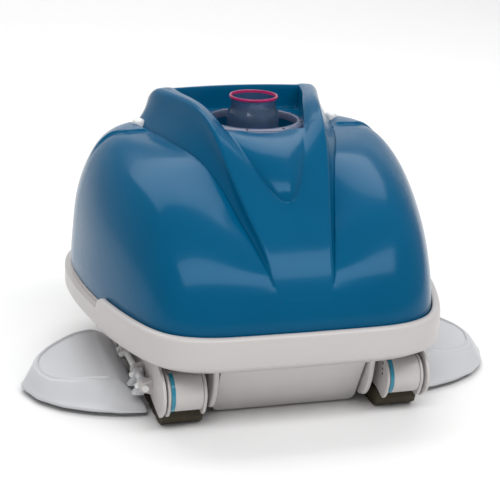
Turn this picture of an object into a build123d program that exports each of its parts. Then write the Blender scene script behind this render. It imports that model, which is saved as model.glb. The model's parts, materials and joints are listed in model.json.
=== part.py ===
from build123d import *
from math import acos, atan2, cos, degrees, hypot, pi, radians, sin, tan
import os

# Suction-side pool cleaner that walks on two rocking pods.
# Millimetres. Origin on the floor under the middle of the bounding box, +Z up, -Y is the front.

# ---- Overall shape -------------------------------------------------------------------------
LENGTH = 300.0
HEIGHT = 226.0
WING_TIP_X = 198.0
BUMPER_OFFSET = 7.0
RIM_OFFSET = 5.0
COVER_FRONT = -LENGTH / 2 + BUMPER_OFFSET
COVER_REAR = LENGTH / 2 - RIM_OFFSET
COVER_HALF_WIDTH = 143.0
WIDEST_Y = 39.0
WALL = 3.0
GAP = 0.3
RUN_FIT = 0.05
PAST = 1.0  # how far a cutting tool runs past a face
THROUGH = 200.0  # reach of a cutting tool that passes right through

# Plan shape of the cover: fraction of the half width, fraction of the way from the widest
# station to the front (-1) or to the rear (+1).
PLAN_SHAPE = [
    (0.0, -1.0), (0.31, -0.997), (0.545, -0.978), (0.72, -0.9), (0.825, -0.75),
    (0.91, -0.53), (0.972, -0.275), (1.0, 0.0), (0.965, 0.44), (0.84, 0.765),
    (0.615, 0.935), (0.315, 0.99), (0.0, 1.0),
]
# Levels of the cover from its lower edge upwards: height, half width, front, rear.
COVER_BOTTOM = 76.0
COVER_LEVELS = [
    (COVER_BOTTOM, COVER_HALF_WIDTH, COVER_FRONT, COVER_REAR),
    (84.0, COVER_HALF_WIDTH, COVER_FRONT, COVER_REAR),
    (104.0, 141.5, -137.0, 142.0),
    (130.0, 138.0, -121.0, 133.0),
    (153.0, 131.0, -97.0, 120.0),
    (171.0, 121.0, -68.0, 106.0),
    (183.0, 109.0, -34.0, 94.0),
    (190.0, 96.0, 4.0, 82.0),
]
# Raised spine: its upper edge as station along Y, half width and height.
SPINE_EDGE = [
    (-137.0, 20.0, 106.0), (-106.0, 28.0, 143.0), (-75.0, 36.0, 171.0), (-44.0, 42.5, 198.0),
    (-16.0, 47.5, 216.5), (17.0, 54.0, 222.0), (77.0, 73.0, 217.0), (112.0, 66.0, 190.0),
    (138.0, 52.0, 110.0),
]
SPINE_DRAFT = 0.1
SPINE_SLOPE_FACTOR = 1.35
SPINE_FLOOR = 90.0
RECESS_FLOOR = 203.0
RECESS_EDGE = [(-50.0, 22.0), (-17.0, 33.0), (41.0, 49.0), (66.0, 54.0)]
NOSE_TIP_Y = -72.0
NOSE_TIP_Z = 168.0
NOSE_TIP_RADIUS = 9.0
NOSE_BASE_RADIUS = 34.0
COVER_BOSSES = [(-97, -90), (97, -90), (-112, 94), (112, 94)]
BOSS_RADIUS = 5.0
BOSS_TOP = COVER_BOTTOM + 14
BOSS_WEB_HALF = 1.5
BOSS_WEB_REACH = 30.0
SCREW_RADIUS = 1.8
SCREW_HEAD_RADIUS = 3.4
SCREW_HEAD_HEIGHT = 2.0
SCREW_LENGTH = 22.0
CATCH_BLOCK = (80, 92, 66, 80, 180, 193)
CATCH_GROOVE = (83, 89, 60, 90, 191, 200)

# ---- Hose cone and its swivel --------------------------------------------------------------
CONE_Y = 19.0
CONE_RADIUS = 20.5
CONE_BORE = 17.5
CONE_BOTTOM = 164.6
CONE_RIM_HEIGHT = 4.0
CONE_FLANGE_RADIUS = 33.0
CONE_FLANGE_Z = 186.0
HOLE_RADIUS = 35.5
GUARD_RADIUS = 39.0
DECK_Z = 158.0
DECK_THICKNESS = 4.0
DECK_RADIUS = 30.0
SOCKET_DEPTH = 8.0
SPIGOT_BORE = 14.5
SPIGOT_TOP = 180.0
GUARD_HEIGHT = 3.0
FLANGE_THICKNESS = 3.0

# ---- Body tray -----------------------------------------------------------------------------
FLOOR_Z = 54.0
FLOOR_THICKNESS = 3.0
FLOOR_TOP = FLOOR_Z + FLOOR_THICKNESS
TRAY_WALL = 5.0
RIM_LOW = 59.0
RIM_HIGH = 72.0
BUMPER_LOW = 57.0
BUMPER_HIGH = 83.0
BUMPER_END_Y = -42.0
CHEEK_X = 60.5
CHEEK_THICKNESS = 3.0
CHEEK_LOW = 12.0
CHEEK_TOP_Y = 124.0
CHEEK_FOOT_Y = 97.0
ARM_SLOT_HALF = 7.0
ARM_SLOT_FRONT = -61.0
ARM_SLOT_REAR = 10.0
BUMPER_LIP = 1.5

# ---- Turbine, gears and crank --------------------------------------------------------------
MODULE = 1.5
PRESSURE_ANGLE = radians(25)
BACKLASH = 0.5
GEAR_WIDTH = 5.0
TURBINE_Z = 112.0
ROTOR_RADIUS = 30.0
ROTOR_HALF = 24.0
CHAMBER_RADIUS = 32.5
CHAMBER_HALF = 26.0
SHAFT_RADIUS = 3.0
BUSH_RADIUS = 7.0
BUSH_END = 35.0
ROTOR_HUB = 8.0
ROTOR_BLADES = 6
BLADE_HALF = 1.0
SHAFT_LEFT = -49.5
SHAFT_RIGHT = 37.0
PINION_TEETH = 12
REDUCTION_TEETH = 30
CRANK_TEETH = 32
CROWN_TEETH = 24
SPINDLE_TEETH = 26
SWIVEL_TEETH = 56
DRIVE_X = -47.0
CRANK_GEAR_X = -55.0
CRANK_GEAR_RUN = 9.5
REDUCTION_Y = -2.5
AXLE_RADIUS = 2.5
CRANK_Y = -35.0
CRANK_SHAFT_RADIUS = 3.5
CRANK_THROW = 4.0
ECCENTRIC_RADIUS = 6.0
ECCENTRIC_HALF = 3.5
CRANK_HALF_LENGTH = 94.0
BEARING_X = 66.0
BEARING_THICKNESS = 6.0
BEARING_RADIUS = 9.0
PLATE_THICKNESS = 3.0
INNER_PLATE_X = -39.5
OUTER_PLATE_X = -62.0
PLATE_FRONT = -64.0
PLATE_REAR = 46.0
SHELF_HALF = 11.0
SHELF_THICKNESS = 4.0
BRACKET_END_X = -74.0
PLATE_POSTS = [(-59, 106), (-59, 63), (36, 64), (40, 106)]
THROAT_X = 22.0
THROAT_Y = 20.0
DUCT_WALL = 2.5
MOUTH_Z = 14.0
MOUTH_FRONT = -41.0
MOUTH_REAR = 71.0

# ---- Pods ----------------------------------------------------------------------------------
POD_INNER = 74.2
POD_OUTER = 99.2
POD_MIDDLE = (POD_INNER + POD_OUTER) / 2
NOSE_Y = -116.0
NOSE_Z = 31.0
NOSE_RADIUS = 15.0
RING_PROUD = 0.35
RING_WIDTH = 3.0
POD_REAR_Y = 100.0
SHOE_TOP = NOSE_Z - NOSE_RADIUS
SHOE_FRONT = -100.0
SHOE_REAR = 84.0
POD_CHEEK = 2.5
POD_PIVOT_Y = -10.0
POD_PIVOT_Z = 40.0
POD_AXLE_RADIUS = 5.0
ARM_HALF = 3.0
FORK_GAP = 15.0
FORK_PRONG = 5.0
FORK_TOP = 12.0
FORK_ROOT = 16.0
HUMP_HALF = 30.0
TOE_SIDE = 12.0
TOE_TIP = 15.0
TOE_RISE = 9.0
SHOE_RIBS = 9
SHOE_RIB_PITCH = 18.5
SHOE_RIB_GAP = 5.0
SHOE_RIB_DEPTH = 2.5

# ---- Skirts, wings and flaps ---------------------------------------------------------------
SKIRT_X = 103.5
SKIRT_THICKNESS = 2.5
SKIRT_REAR = 112.0
SKIRT_LOW = 20.0
SKIRT_TIP_Z = NOSE_Z - NOSE_RADIUS - 3.5
SKIRT_OUTLINE = [
    (NOSE_Y, FLOOR_Z), (SKIRT_REAR, FLOOR_Z), (SKIRT_REAR, 34), (96, SKIRT_LOW), (-70, SKIRT_LOW),
    (NOSE_Y - 2, SKIRT_TIP_Z), (NOSE_Y - 9, SKIRT_TIP_Z + 4),
]
WING_PIVOT_X = 112.0
WING_PIVOT_Z = 27.0
WING_PIN_RADIUS = 2.5
KNUCKLE_RADIUS = 4.5
WING_PIN_FRONT = -99.0
WING_PIN_REAR = 15.0
LUG_STATIONS = [-93.0, -61.0, -19.0, 9.0]
LUG_HALF = 3.5
WING_EDGE_Z = 6.0
WING_TOP_Z = 29.5
WING_CENTRE = (150.0, -28.0)
WING_WEB = 14.0
KNUCKLE_GAP = 1.0
# Wing plan at its lower edge and round its raised plateau.
WING_EDGE = [
    (118.0, -92.0), (150.0, -83.0), (172.0, -70.0), (188.0, -52.0), (WING_TIP_X, -24.0),
    (185.0, 2.0), (158.0, 20.0), (134.0, 28.0), (118.0, 22.0),
]
WING_PLATEAU = [
    (118.0, -70.0), (143.0, -62.0), (160.0, -52.0), (175.0, -37.0), (184.0, -20.0),
    (172.0, -4.0), (151.0, 11.0), (132.0, 18.0), (118.0, 14.0),
]
FLAP_PIVOT_Y = 118.0
FLAP_PIVOT_Z = 47.0
FLAP_FOOT_Y = 91.0
FLAP_FOOT_Z = 3.5
FLAP_HALF_WIDTH = 58.5
FLAP_THICKNESS = 2.6
FLAP_PIN_RADIUS = 2.0
FLAP_PIN_HALF = CHEEK_X + CHEEK_THICKNESS
FLAP_KNUCKLE = 3.6
FLOAT_BLOCK = (-60, 60, -112, -70, 84, 124)
BALLAST_HALF = 40.0
BALLAST_FRONT = 66.0
BALLAST_REAR = 104.0
BALLAST_HEIGHT = 8.0

REDUCTION_RADIUS = MODULE * REDUCTION_TEETH / 2
PINION_RADIUS = MODULE * PINION_TEETH / 2
CRANK_RADIUS = MODULE * CRANK_TEETH / 2
CROWN_RADIUS = MODULE * CROWN_TEETH / 2
REDUCTION_SPACING = PINION_RADIUS + REDUCTION_RADIUS
CRANK_SPACING = PINION_RADIUS + CRANK_RADIUS
REDUCTION_Z = TURBINE_Z - (REDUCTION_SPACING**2 - (CONE_Y - REDUCTION_Y)**2) ** 0.5
CRANK_Z = REDUCTION_Z - (CRANK_SPACING**2 - (REDUCTION_Y - CRANK_Y)**2) ** 0.5
SPINDLE_X = -MODULE * (SPINDLE_TEETH + SWIVEL_TEETH) / 2
SWIVEL_Z = CONE_BOTTOM + 2.0
CROWN_PITCH_Z = TURBINE_Z + PINION_RADIUS
CROWN_ROOT_Z = CROWN_PITCH_Z + 1.9
CROWN_TIP_Z = CROWN_PITCH_Z - 1.2
CROWN_DISC = 2.5
CROWN_TOOTH_DEPTH = 1.5
CROWN_TOOTH_HALF = 0.6
SHELF_Z = CROWN_ROOT_Z + CROWN_DISC + 0.6


# ---- Helpers -------------------------------------------------------------------------------
def box(x0, x1, y0, y1, z0, z1):
    """Block between two corners."""
    size = Box(x1 - x0, y1 - y0, z1 - z0)
    return Pos((x0 + x1) / 2, (y0 + y1) / 2, (z0 + z1) / 2) * size


def rod_x(radius, x0, x1, y, z):
    """Cylinder along X."""
    return Pos((x0 + x1) / 2, y, z) * Rot(0, 90, 0) * Cylinder(radius, x1 - x0)


def rod_y(radius, y0, y1, x, z):
    """Cylinder along Y."""
    return Pos(x, (y0 + y1) / 2, z) * Rot(90, 0, 0) * Cylinder(radius, y1 - y0)


def rod_z(radius, z0, z1, x, y):
    """Cylinder along Z."""
    return Pos(x, y, (z0 + z1) / 2) * Cylinder(radius, z1 - z0)


def tube_z(outer, inner, z0, z1, x, y):
    """Ring or sleeve along Z."""
    return rod_z(outer, z0, z1, x, y) - rod_z(inner, z0 - PAST, z1 + PAST, x, y)


def side_plate(points, x0, x1):
    """Plate with a polygon outline in the YZ plane, between two X positions."""
    face = make_face(Polyline(*[(0, y, z) for y, z in points], close=True))
    return Pos(x0, 0, 0) * extrude(face, x1 - x0, dir=(1, 0, 0))


def mirrored(shape):
    """The same piece on the other side of the machine."""
    return mirror(shape, about=Plane.YZ)


def plan_face(z, half_width, front, rear):
    """Closed outline of the cover family at one height."""
    half = []
    for across, along in PLAN_SHAPE:
        reach = (WIDEST_Y - front) if along < 0 else (rear - WIDEST_Y)
        half.append((across * half_width, WIDEST_Y + along * reach, z))
    right = Spline(*half, tangents=[(1, 0, 0), (-1, 0, 0)])
    left = Spline(*[(-x, y, z) for x, y, z in reversed(half)], tangents=[(-1, 0, 0), (1, 0, 0)])
    return make_face(Wire([right, left]))


def plan_block(offset, z0, z1):
    """Straight block on the cover's lower outline, moved outwards by an offset."""
    face = plan_face(z0, COVER_HALF_WIDTH + offset, COVER_FRONT - offset, COVER_REAR + offset)
    return extrude(face, z1 - z0, dir=(0, 0, 1))


def gear_face(teeth, phase):
    """Involute spur gear outline on the XY plane with a tooth centred on the phase angle."""
    pitch_radius = MODULE * teeth / 2
    base_radius = pitch_radius * cos(PRESSURE_ANGLE)
    root_radius = pitch_radius - 1.25 * MODULE
    tip_radius = pitch_radius + 0.95 * MODULE
    start_radius = max(base_radius, root_radius)
    half_at_pitch = pi / (2 * teeth) - BACKLASH / (4 * pitch_radius)
    involute_at_pitch = tan(PRESSURE_ANGLE) - PRESSURE_ANGLE
    flank = [(root_radius, half_at_pitch + involute_at_pitch)] if base_radius > root_radius else []
    for step in range(4):
        radius = start_radius + (tip_radius - start_radius) * step / 3
        angle = acos(min(1.0, base_radius / radius))
        flank.append((radius, half_at_pitch + involute_at_pitch - (tan(angle) - angle)))
    points = []
    for tooth in range(teeth):
        middle = phase + 2 * pi * tooth / teeth
        rising = [(r, middle - a) for r, a in flank]
        falling = [(r, middle + a) for r, a in reversed(flank)]
        points += [(r * cos(a), r * sin(a)) for r, a in rising + falling]
    return make_face(Polyline(*points, close=True))


def mating_phase(phase, teeth, other_teeth, direction):
    """Phase that puts a gear in mesh with one that lies in the opposite direction."""
    return direction + pi - (phase - direction) * teeth / other_teeth + pi / other_teeth


def gear_x(teeth, phase, x0, width, y, z):
    """Spur gear that turns about X. Angles run from +Y towards +Z."""
    plane = Plane(origin=(x0, y, z), x_dir=(0, 1, 0), z_dir=(1, 0, 0))
    return extrude(plane * gear_face(teeth, phase), width, dir=(1, 0, 0))


def gear_z(teeth, phase, z0, width, x, y):
    """Spur gear that turns about Z."""
    return extrude(Pos(x, y, z0) * gear_face(teeth, phase), width, dir=(0, 0, 1))


# ---- Cover ---------------------------------------------------------------------------------
def hood(inset):
    """Domed body of the cover, moved inwards by an inset."""
    faces = []
    for z, half_width, front, rear in COVER_LEVELS:
        lowered = z - inset if z > COVER_BOTTOM else z - (PAST if inset else 0)
        faces.append(plan_face(lowered, half_width - inset, front + inset, rear - inset))
    return loft(faces)


def spine(inset):
    """Raised centre of the cover: a side profile narrowed by two drafted side walls."""
    edge = [(y, half, z - SPINE_SLOPE_FACTOR * inset) for y, half, z in SPINE_EDGE]
    edge[0] = (edge[0][0] + 2 * inset, edge[0][1], edge[0][2])
    edge[-1] = (edge[-1][0] - 2 * inset, edge[-1][1], edge[-1][2])
    front_y, _, front_z = edge[0]
    rear_y, _, rear_z = edge[-1]
    top = Spline(*[(0, y, z) for y, _, z in edge])
    under = Polyline(
        (0, rear_y, rear_z), (0, rear_y, SPINE_FLOOR), (0, front_y, SPINE_FLOOR), (0, front_y, front_z),
    )
    profile = make_face(Wire([top] + under.edges()))
    slab = extrude(profile, COVER_HALF_WIDTH, dir=(1, 0, 0), both=True)

    def wedge_face(level):
        half = []
        for y, half_width, z in edge:
            half.append((half_width - inset + SPINE_DRAFT * (z - level), y))
        right = Spline(*[(x, y, level) for x, y in half])
        left = Spline(*[(-x, y, level) for x, y in half])
        front = Line(left @ 0, right @ 0)
        rear = Line(left @ 1, right @ 1)
        return make_face(Wire([right, rear, left, front]))

    wedge = loft([wedge_face(SPINE_FLOOR - PAST), wedge_face(HEIGHT + PAST)])
    return slab & wedge


def recess(inset):
    """Open space over the swivel, between the two rails."""
    right = [(half + inset, y) for y, half in RECESS_EDGE]
    right[-1] = (right[-1][0], right[-1][1] + inset)
    left = [(-x, y) for x, y in reversed(right)]
    face = make_face(Polyline(*[(x, y, RECESS_FLOOR - inset) for x, y in right + left], close=True))
    return extrude(face, HEIGHT, dir=(0, 0, 1))


def upper_cover():
    outside = (hood(0) + spine(0)) - recess(0)
    base = Pos(0, CONE_Y - 5, RECESS_FLOOR) * Circle(NOSE_BASE_RADIUS)
    tip = Pos(0, NOSE_TIP_Y, NOSE_TIP_Z) * Circle(NOSE_TIP_RADIUS)
    inside = (hood(WALL) + spine(WALL)) - recess(WALL)
    shell = (outside + loft([base, tip])) - inside
    shell -= rod_z(HOLE_RADIUS, RECESS_FLOOR - 40, HEIGHT, 0, CONE_Y)
    for x, y in COVER_BOSSES:
        inner, outer = (x, x + BOSS_WEB_REACH) if x > 0 else (x - BOSS_WEB_REACH, x)
        web = box(inner, outer, y - BOSS_WEB_HALF, y + BOSS_WEB_HALF, COVER_BOTTOM + 2, BOSS_TOP)
        boss = rod_z(BOSS_RADIUS, FLOOR_TOP, BOSS_TOP, x, y) + (web & hood(WALL / 3))
        shell += boss - rod_z(SCREW_RADIUS, 0, COVER_BOTTOM, x, y)
    return shell


# ---- Tray, bumper and skirts ---------------------------------------------------------------
def lower_body():
    tray = plan_block(0, FLOOR_Z, COVER_BOTTOM - GAP)
    tray -= plan_block(-TRAY_WALL, FLOOR_TOP, COVER_BOTTOM)
    rim = plan_block(RIM_OFFSET, RIM_LOW, RIM_HIGH) - plan_block(-PAST, RIM_LOW - PAST, RIM_HIGH + PAST)
    rim -= box(-THROUGH, THROUGH, -THROUGH, BUMPER_END_Y + GAP, 0, HEIGHT)
    tray += rim
    duct_x = THROAT_X + DUCT_WALL + GAP
    duct_y = THROAT_Y + DUCT_WALL + GAP
    tray -= box(-duct_x, duct_x, CONE_Y - duct_y, CONE_Y + duct_y, FLOOR_Z - PAST, FLOOR_TOP + PAST)
    cheek = side_plate(
        [(-CHEEK_TOP_Y, FLOOR_Z), (CHEEK_TOP_Y, FLOOR_Z), (CHEEK_FOOT_Y, CHEEK_LOW),
         (-CHEEK_FOOT_Y, CHEEK_LOW)],
        CHEEK_X, CHEEK_X + CHEEK_THICKNESS,
    )
    cheek -= rod_x(POD_AXLE_RADIUS, 0, THROUGH, POD_PIVOT_Y, POD_PIVOT_Z)
    for pin_y in (-FLAP_PIVOT_Y, FLAP_PIVOT_Y):
        cheek -= rod_x(FLAP_PIN_RADIUS, 0, THROUGH, pin_y, FLAP_PIVOT_Z)
    slot = box(POD_MIDDLE - ARM_SLOT_HALF, POD_MIDDLE + ARM_SLOT_HALF, ARM_SLOT_FRONT, ARM_SLOT_REAR,
               FLOOR_Z - PAST, FLOOR_TOP + PAST)
    for shape in (slot, mirrored(slot)):
        tray -= shape
    for x, y in COVER_BOSSES:
        tray -= rod_z(SCREW_RADIUS, 0, FLOOR_TOP + PAST, x, y)
    return tray + cheek + mirrored(cheek)


def front_bumper():
    band = plan_block(BUMPER_OFFSET, BUMPER_LOW, BUMPER_HIGH)
    band = chamfer(band.edges().group_by(Axis.Z)[-1], BUMPER_LIP)
    band -= plan_block(GAP, BUMPER_LOW - PAST, BUMPER_HIGH + PAST)
    return band - box(-THROUGH, THROUGH, BUMPER_END_Y, THROUGH, 0, HEIGHT)


def skirt():
    nose = rod_x(NOSE_RADIUS + 2, SKIRT_X, SKIRT_X + SKIRT_THICKNESS, NOSE_Y, NOSE_Z)
    plate = side_plate(SKIRT_OUTLINE, SKIRT_X, SKIRT_X + SKIRT_THICKNESS)
    plate += nose & box(0, THROUGH, -THROUGH, THROUGH, 0, FLOOR_Z)
    plate -= rod_x(POD_AXLE_RADIUS, 0, THROUGH, POD_PIVOT_Y, POD_PIVOT_Z)
    root_x = SKIRT_X + SKIRT_THICKNESS
    for y in LUG_STATIONS:
        lug = rod_y(KNUCKLE_RADIUS, y - LUG_HALF, y + LUG_HALF, WING_PIVOT_X, WING_PIVOT_Z)
        web = box(root_x - PAST, WING_PIVOT_X, y - LUG_HALF, y + LUG_HALF,
                  WING_PIVOT_Z - KNUCKLE_RADIUS, WING_PIVOT_Z + KNUCKLE_RADIUS)
        plate += lug + web
    return plate - rod_y(WING_PIN_RADIUS, -THROUGH, THROUGH, WING_PIVOT_X, WING_PIVOT_Z)


# ---- Wings and flaps -----------------------------------------------------------------------
def wing_form(drop):
    """Loft from the wing's lower edge to its plateau, moved inwards and down by a drop."""
    def ring(points, z):
        centre_x, centre_y = WING_CENTRE
        moved = []
        for x, y in points:
            reach = hypot(x - centre_x, y - centre_y)
            scale = (reach - drop) / reach
            moved.append((centre_x + (x - centre_x) * scale, centre_y + (y - centre_y) * scale, z))
        edge = Spline(*moved)
        return make_face(Wire([edge, Line(edge @ 1, edge @ 0)]))

    low = WING_EDGE_Z - (PAST if drop else 0)
    return loft([ring(WING_EDGE, low), ring(WING_PLATEAU, WING_TOP_Z - drop)])


def wing():
    shell = wing_form(0) - wing_form(WALL)
    for first, second in zip(LUG_STATIONS, LUG_STATIONS[1:]):
        y0 = first + LUG_HALF + KNUCKLE_GAP
        y1 = second - LUG_HALF - KNUCKLE_GAP
        knuckle = rod_y(KNUCKLE_RADIUS, y0, y1, WING_PIVOT_X, WING_PIVOT_Z)
        web = box(WING_PIVOT_X, WING_PIVOT_X + WING_WEB, y0, y1, WING_PIVOT_Z - 2, WING_PIVOT_Z + 1)
        shell += knuckle + web
    return shell - rod_y(WING_PIN_RADIUS + RUN_FIT, -THROUGH, THROUGH, WING_PIVOT_X, WING_PIVOT_Z)


def flap():
    """Front flap: a plate hung from a pin under the tray, leaning back to the floor."""
    lean = atan2(FLAP_PIVOT_Y - FLAP_FOOT_Y, FLAP_PIVOT_Z - FLAP_FOOT_Z)
    across = (FLAP_THICKNESS / 2 * cos(lean), FLAP_THICKNESS / 2 * sin(lean))
    top = (-FLAP_PIVOT_Y, FLAP_PIVOT_Z)
    foot = (-FLAP_FOOT_Y, FLAP_FOOT_Z)
    outline = [
        (top[0] - across[0], top[1] - across[1]), (top[0] + across[0], top[1] + across[1]),
        (foot[0] + across[0], foot[1] + across[1]), (foot[0] - across[0], foot[1] - across[1]),
    ]
    plate = side_plate(outline, -FLAP_HALF_WIDTH, FLAP_HALF_WIDTH)
    plate += rod_x(FLAP_KNUCKLE, -FLAP_HALF_WIDTH, FLAP_HALF_WIDTH, *top)
    return plate - rod_x(FLAP_PIN_RADIUS + RUN_FIT, -THROUGH, THROUGH, *top)


# ---- Pods ----------------------------------------------------------------------------------
def pod_shell():
    body = rod_x(NOSE_RADIUS, POD_INNER, POD_OUTER, NOSE_Y, NOSE_Z)
    body += rod_x(NOSE_RADIUS, POD_INNER, POD_OUTER, POD_REAR_Y, NOSE_Z)
    body += box(POD_INNER, POD_OUTER, NOSE_Y, POD_REAR_Y, SHOE_TOP, NOSE_Z + 5)
    hump = side_plate(
        [(NOSE_Y, NOSE_Z + 5), (POD_REAR_Y, NOSE_Z + 5), (POD_PIVOT_Y + HUMP_HALF, NOSE_Z + NOSE_RADIUS),
         (POD_PIVOT_Y - HUMP_HALF, NOSE_Z + NOSE_RADIUS)],
        POD_INNER, POD_OUTER,
    )
    body += hump
    body -= box(POD_INNER + WALL, POD_OUTER - WALL, NOSE_Y + 4, POD_REAR_Y - 4, 0, NOSE_Z + 2)
    body -= box(POD_MIDDLE - ARM_HALF, POD_MIDDLE + ARM_HALF, CRANK_Y - 30, CRANK_Y + 55,
                NOSE_Z, NOSE_Z + NOSE_RADIUS + PAST)
    return body - rod_x(POD_AXLE_RADIUS + RUN_FIT, 0, THROUGH, POD_PIVOT_Y, POD_PIVOT_Z)


def pod_cheeks():
    """Thin side plates of the pod, with a pointed toe at each end."""
    outline = [
        (NOSE_Y, NOSE_Z + NOSE_RADIUS), (NOSE_Y - TOE_SIDE, NOSE_Z + TOE_RISE), (NOSE_Y - TOE_TIP, NOSE_Z),
        (NOSE_Y - TOE_SIDE, NOSE_Z - TOE_RISE), (NOSE_Y - 2, SHOE_TOP - 3), (NOSE_Y + 6, SHOE_TOP),
        (POD_REAR_Y - 6, SHOE_TOP), (POD_REAR_Y + 2, SHOE_TOP - 3),
        (POD_REAR_Y + TOE_SIDE, NOSE_Z - TOE_RISE), (POD_REAR_Y + TOE_TIP, NOSE_Z),
        (POD_REAR_Y + TOE_SIDE, NOSE_Z + TOE_RISE), (POD_REAR_Y, NOSE_Z + NOSE_RADIUS),
    ]
    plates = []
    for x in (POD_INNER - POD_CHEEK, POD_OUTER):
        plate = side_plate(outline, x, x + POD_CHEEK)
        plates.append(plate - rod_x(POD_AXLE_RADIUS + RUN_FIT, 0, THROUGH, POD_PIVOT_Y, POD_PIVOT_Z))
    return Compound(children=plates)


def pod_arm():
    """A-frame arm: clasps the axle below and reaches up in a fork round the eccentric."""
    foot_y = POD_PIVOT_Y
    fork_y = FORK_GAP + FORK_PRONG
    outline = [
        (foot_y + 14, NOSE_Z), (foot_y + 14, POD_PIVOT_Z + 8), (CRANK_Y + fork_y, CRANK_Z - FORK_ROOT),
        (CRANK_Y + fork_y, CRANK_Z + FORK_TOP), (CRANK_Y - fork_y, CRANK_Z + FORK_TOP),
        (CRANK_Y - fork_y, CRANK_Z - FORK_ROOT), (foot_y - 20, NOSE_Z),
    ]
    arm = side_plate(outline, POD_MIDDLE - ARM_HALF, POD_MIDDLE + ARM_HALF)
    arm -= rod_x(FORK_GAP, 0, THROUGH, CRANK_Y, CRANK_Z)
    arm -= box(0, THROUGH, CRANK_Y - FORK_GAP, CRANK_Y + FORK_GAP, CRANK_Z, HEIGHT)
    return arm - rod_x(POD_AXLE_RADIUS + RUN_FIT, 0, THROUGH, POD_PIVOT_Y, POD_PIVOT_Z)


def shoe():
    """Rubber shoe that the pod walks on."""
    outline = [
        (SHOE_FRONT + 3, 0), (SHOE_REAR - 3, 0), (SHOE_REAR + 6, 8), (SHOE_REAR + 9, SHOE_TOP),
        (SHOE_FRONT - 9, SHOE_TOP), (SHOE_FRONT - 6, 8),
    ]
    pad = side_plate(outline, POD_INNER - POD_CHEEK, POD_OUTER + POD_CHEEK)
    for rib in range(SHOE_RIBS):
        y = SHOE_FRONT + 16 + SHOE_RIB_PITCH * rib
        pad -= box(0, THROUGH, y, y + SHOE_RIB_GAP, -PAST, SHOE_RIB_DEPTH)
    return pad


def nose_ring():
    """Coloured band round the left end of the pod's nose."""
    ring = rod_x(NOSE_RADIUS + RING_PROUD, POD_INNER, POD_INNER + RING_WIDTH, NOSE_Y, NOSE_Z)
    ring -= rod_x(NOSE_RADIUS, 0, THROUGH, NOSE_Y, NOSE_Z)
    return ring & box(0, THROUGH, -THROUGH, NOSE_Y - 0.5, SHOE_TOP - PAST, HEIGHT)


# ---- Turbine and gears ---------------------------------------------------------------------
def turbine_rotor():
    rotor = rod_x(ROTOR_HUB, -ROTOR_HALF, ROTOR_HALF, CONE_Y, TURBINE_Z)
    blade = box(-ROTOR_HALF, ROTOR_HALF, -BLADE_HALF, BLADE_HALF, ROTOR_HUB - PAST, ROTOR_RADIUS)
    for index in range(ROTOR_BLADES):
        rotor += Pos(0, CONE_Y, TURBINE_Z) * Rot(360 / ROTOR_BLADES * index, 0, 0) * blade
    return rotor - rod_x(SHAFT_RADIUS, -THROUGH, THROUGH, CONE_Y, TURBINE_Z)


def turbine_pinion():
    pinion = gear_x(PINION_TEETH, pi / 2, DRIVE_X - 0.5, GEAR_WIDTH + 2.5, CONE_Y, TURBINE_Z)
    return pinion - rod_x(SHAFT_RADIUS, -THROUGH, THROUGH, CONE_Y, TURBINE_Z)


def housing_half(upper):
    outer = rod_x(CHAMBER_RADIUS + WALL, -CHAMBER_HALF - WALL, CHAMBER_HALF + WALL, CONE_Y, TURBINE_Z)
    outer += rod_x(BUSH_RADIUS + WALL, -BUSH_END, BUSH_END, CONE_Y, TURBINE_Z)
    duct_low = TURBINE_Z + CHAMBER_RADIUS - 8
    if upper:
        outer += rod_z(CONE_BORE + WALL, duct_low, DECK_Z - SOCKET_DEPTH, 0, CONE_Y)
    outer -= rod_x(CHAMBER_RADIUS, -CHAMBER_HALF, CHAMBER_HALF, CONE_Y, TURBINE_Z)
    outer -= rod_x(BUSH_RADIUS, -THROUGH, THROUGH, CONE_Y, TURBINE_Z)
    if upper:
        outer -= rod_z(CONE_BORE, duct_low, DECK_Z, 0, CONE_Y)
        keep = box(-THROUGH, THROUGH, -THROUGH, THROUGH, TURBINE_Z, HEIGHT)
    else:
        outer -= box(-THROAT_X + 2, THROAT_X - 2, CONE_Y - THROAT_Y + 2, CONE_Y + THROAT_Y - 2,
                     TURBINE_Z - 60, TURBINE_Z - 10)
        keep = box(-THROUGH, THROUGH, -THROUGH, THROUGH, 0, TURBINE_Z)
    return outer & keep


def turbine_bush():
    bush = rod_x(BUSH_RADIUS, CHAMBER_HALF, BUSH_END, CONE_Y, TURBINE_Z)
    return bush - rod_x(SHAFT_RADIUS + RUN_FIT, 0, THROUGH, CONE_Y, TURBINE_Z)


def throat_intake():
    """Suction mouth under the body and the square duct up to the turbine."""
    duct_x = THROAT_X + DUCT_WALL
    duct_y = THROAT_Y + DUCT_WALL
    duct = box(-duct_x, duct_x, CONE_Y - duct_y, CONE_Y + duct_y, MOUTH_Z, TURBINE_Z - 5)
    duct += box(-CHEEK_X, CHEEK_X, MOUTH_FRONT, MOUTH_REAR, MOUTH_Z, MOUTH_Z + WALL)
    duct -= box(-THROAT_X, THROAT_X, CONE_Y - THROAT_Y, CONE_Y + THROAT_Y, MOUTH_Z - PAST, TURBINE_Z)
    return duct - rod_x(CHAMBER_RADIUS + WALL, -THROUGH, THROUGH, CONE_Y, TURBINE_Z)


REDUCTION_DIRECTION = atan2(REDUCTION_Z - TURBINE_Z, REDUCTION_Y - CONE_Y)
CRANK_DIRECTION = atan2(CRANK_Z - REDUCTION_Z, CRANK_Y - REDUCTION_Y)


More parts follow.
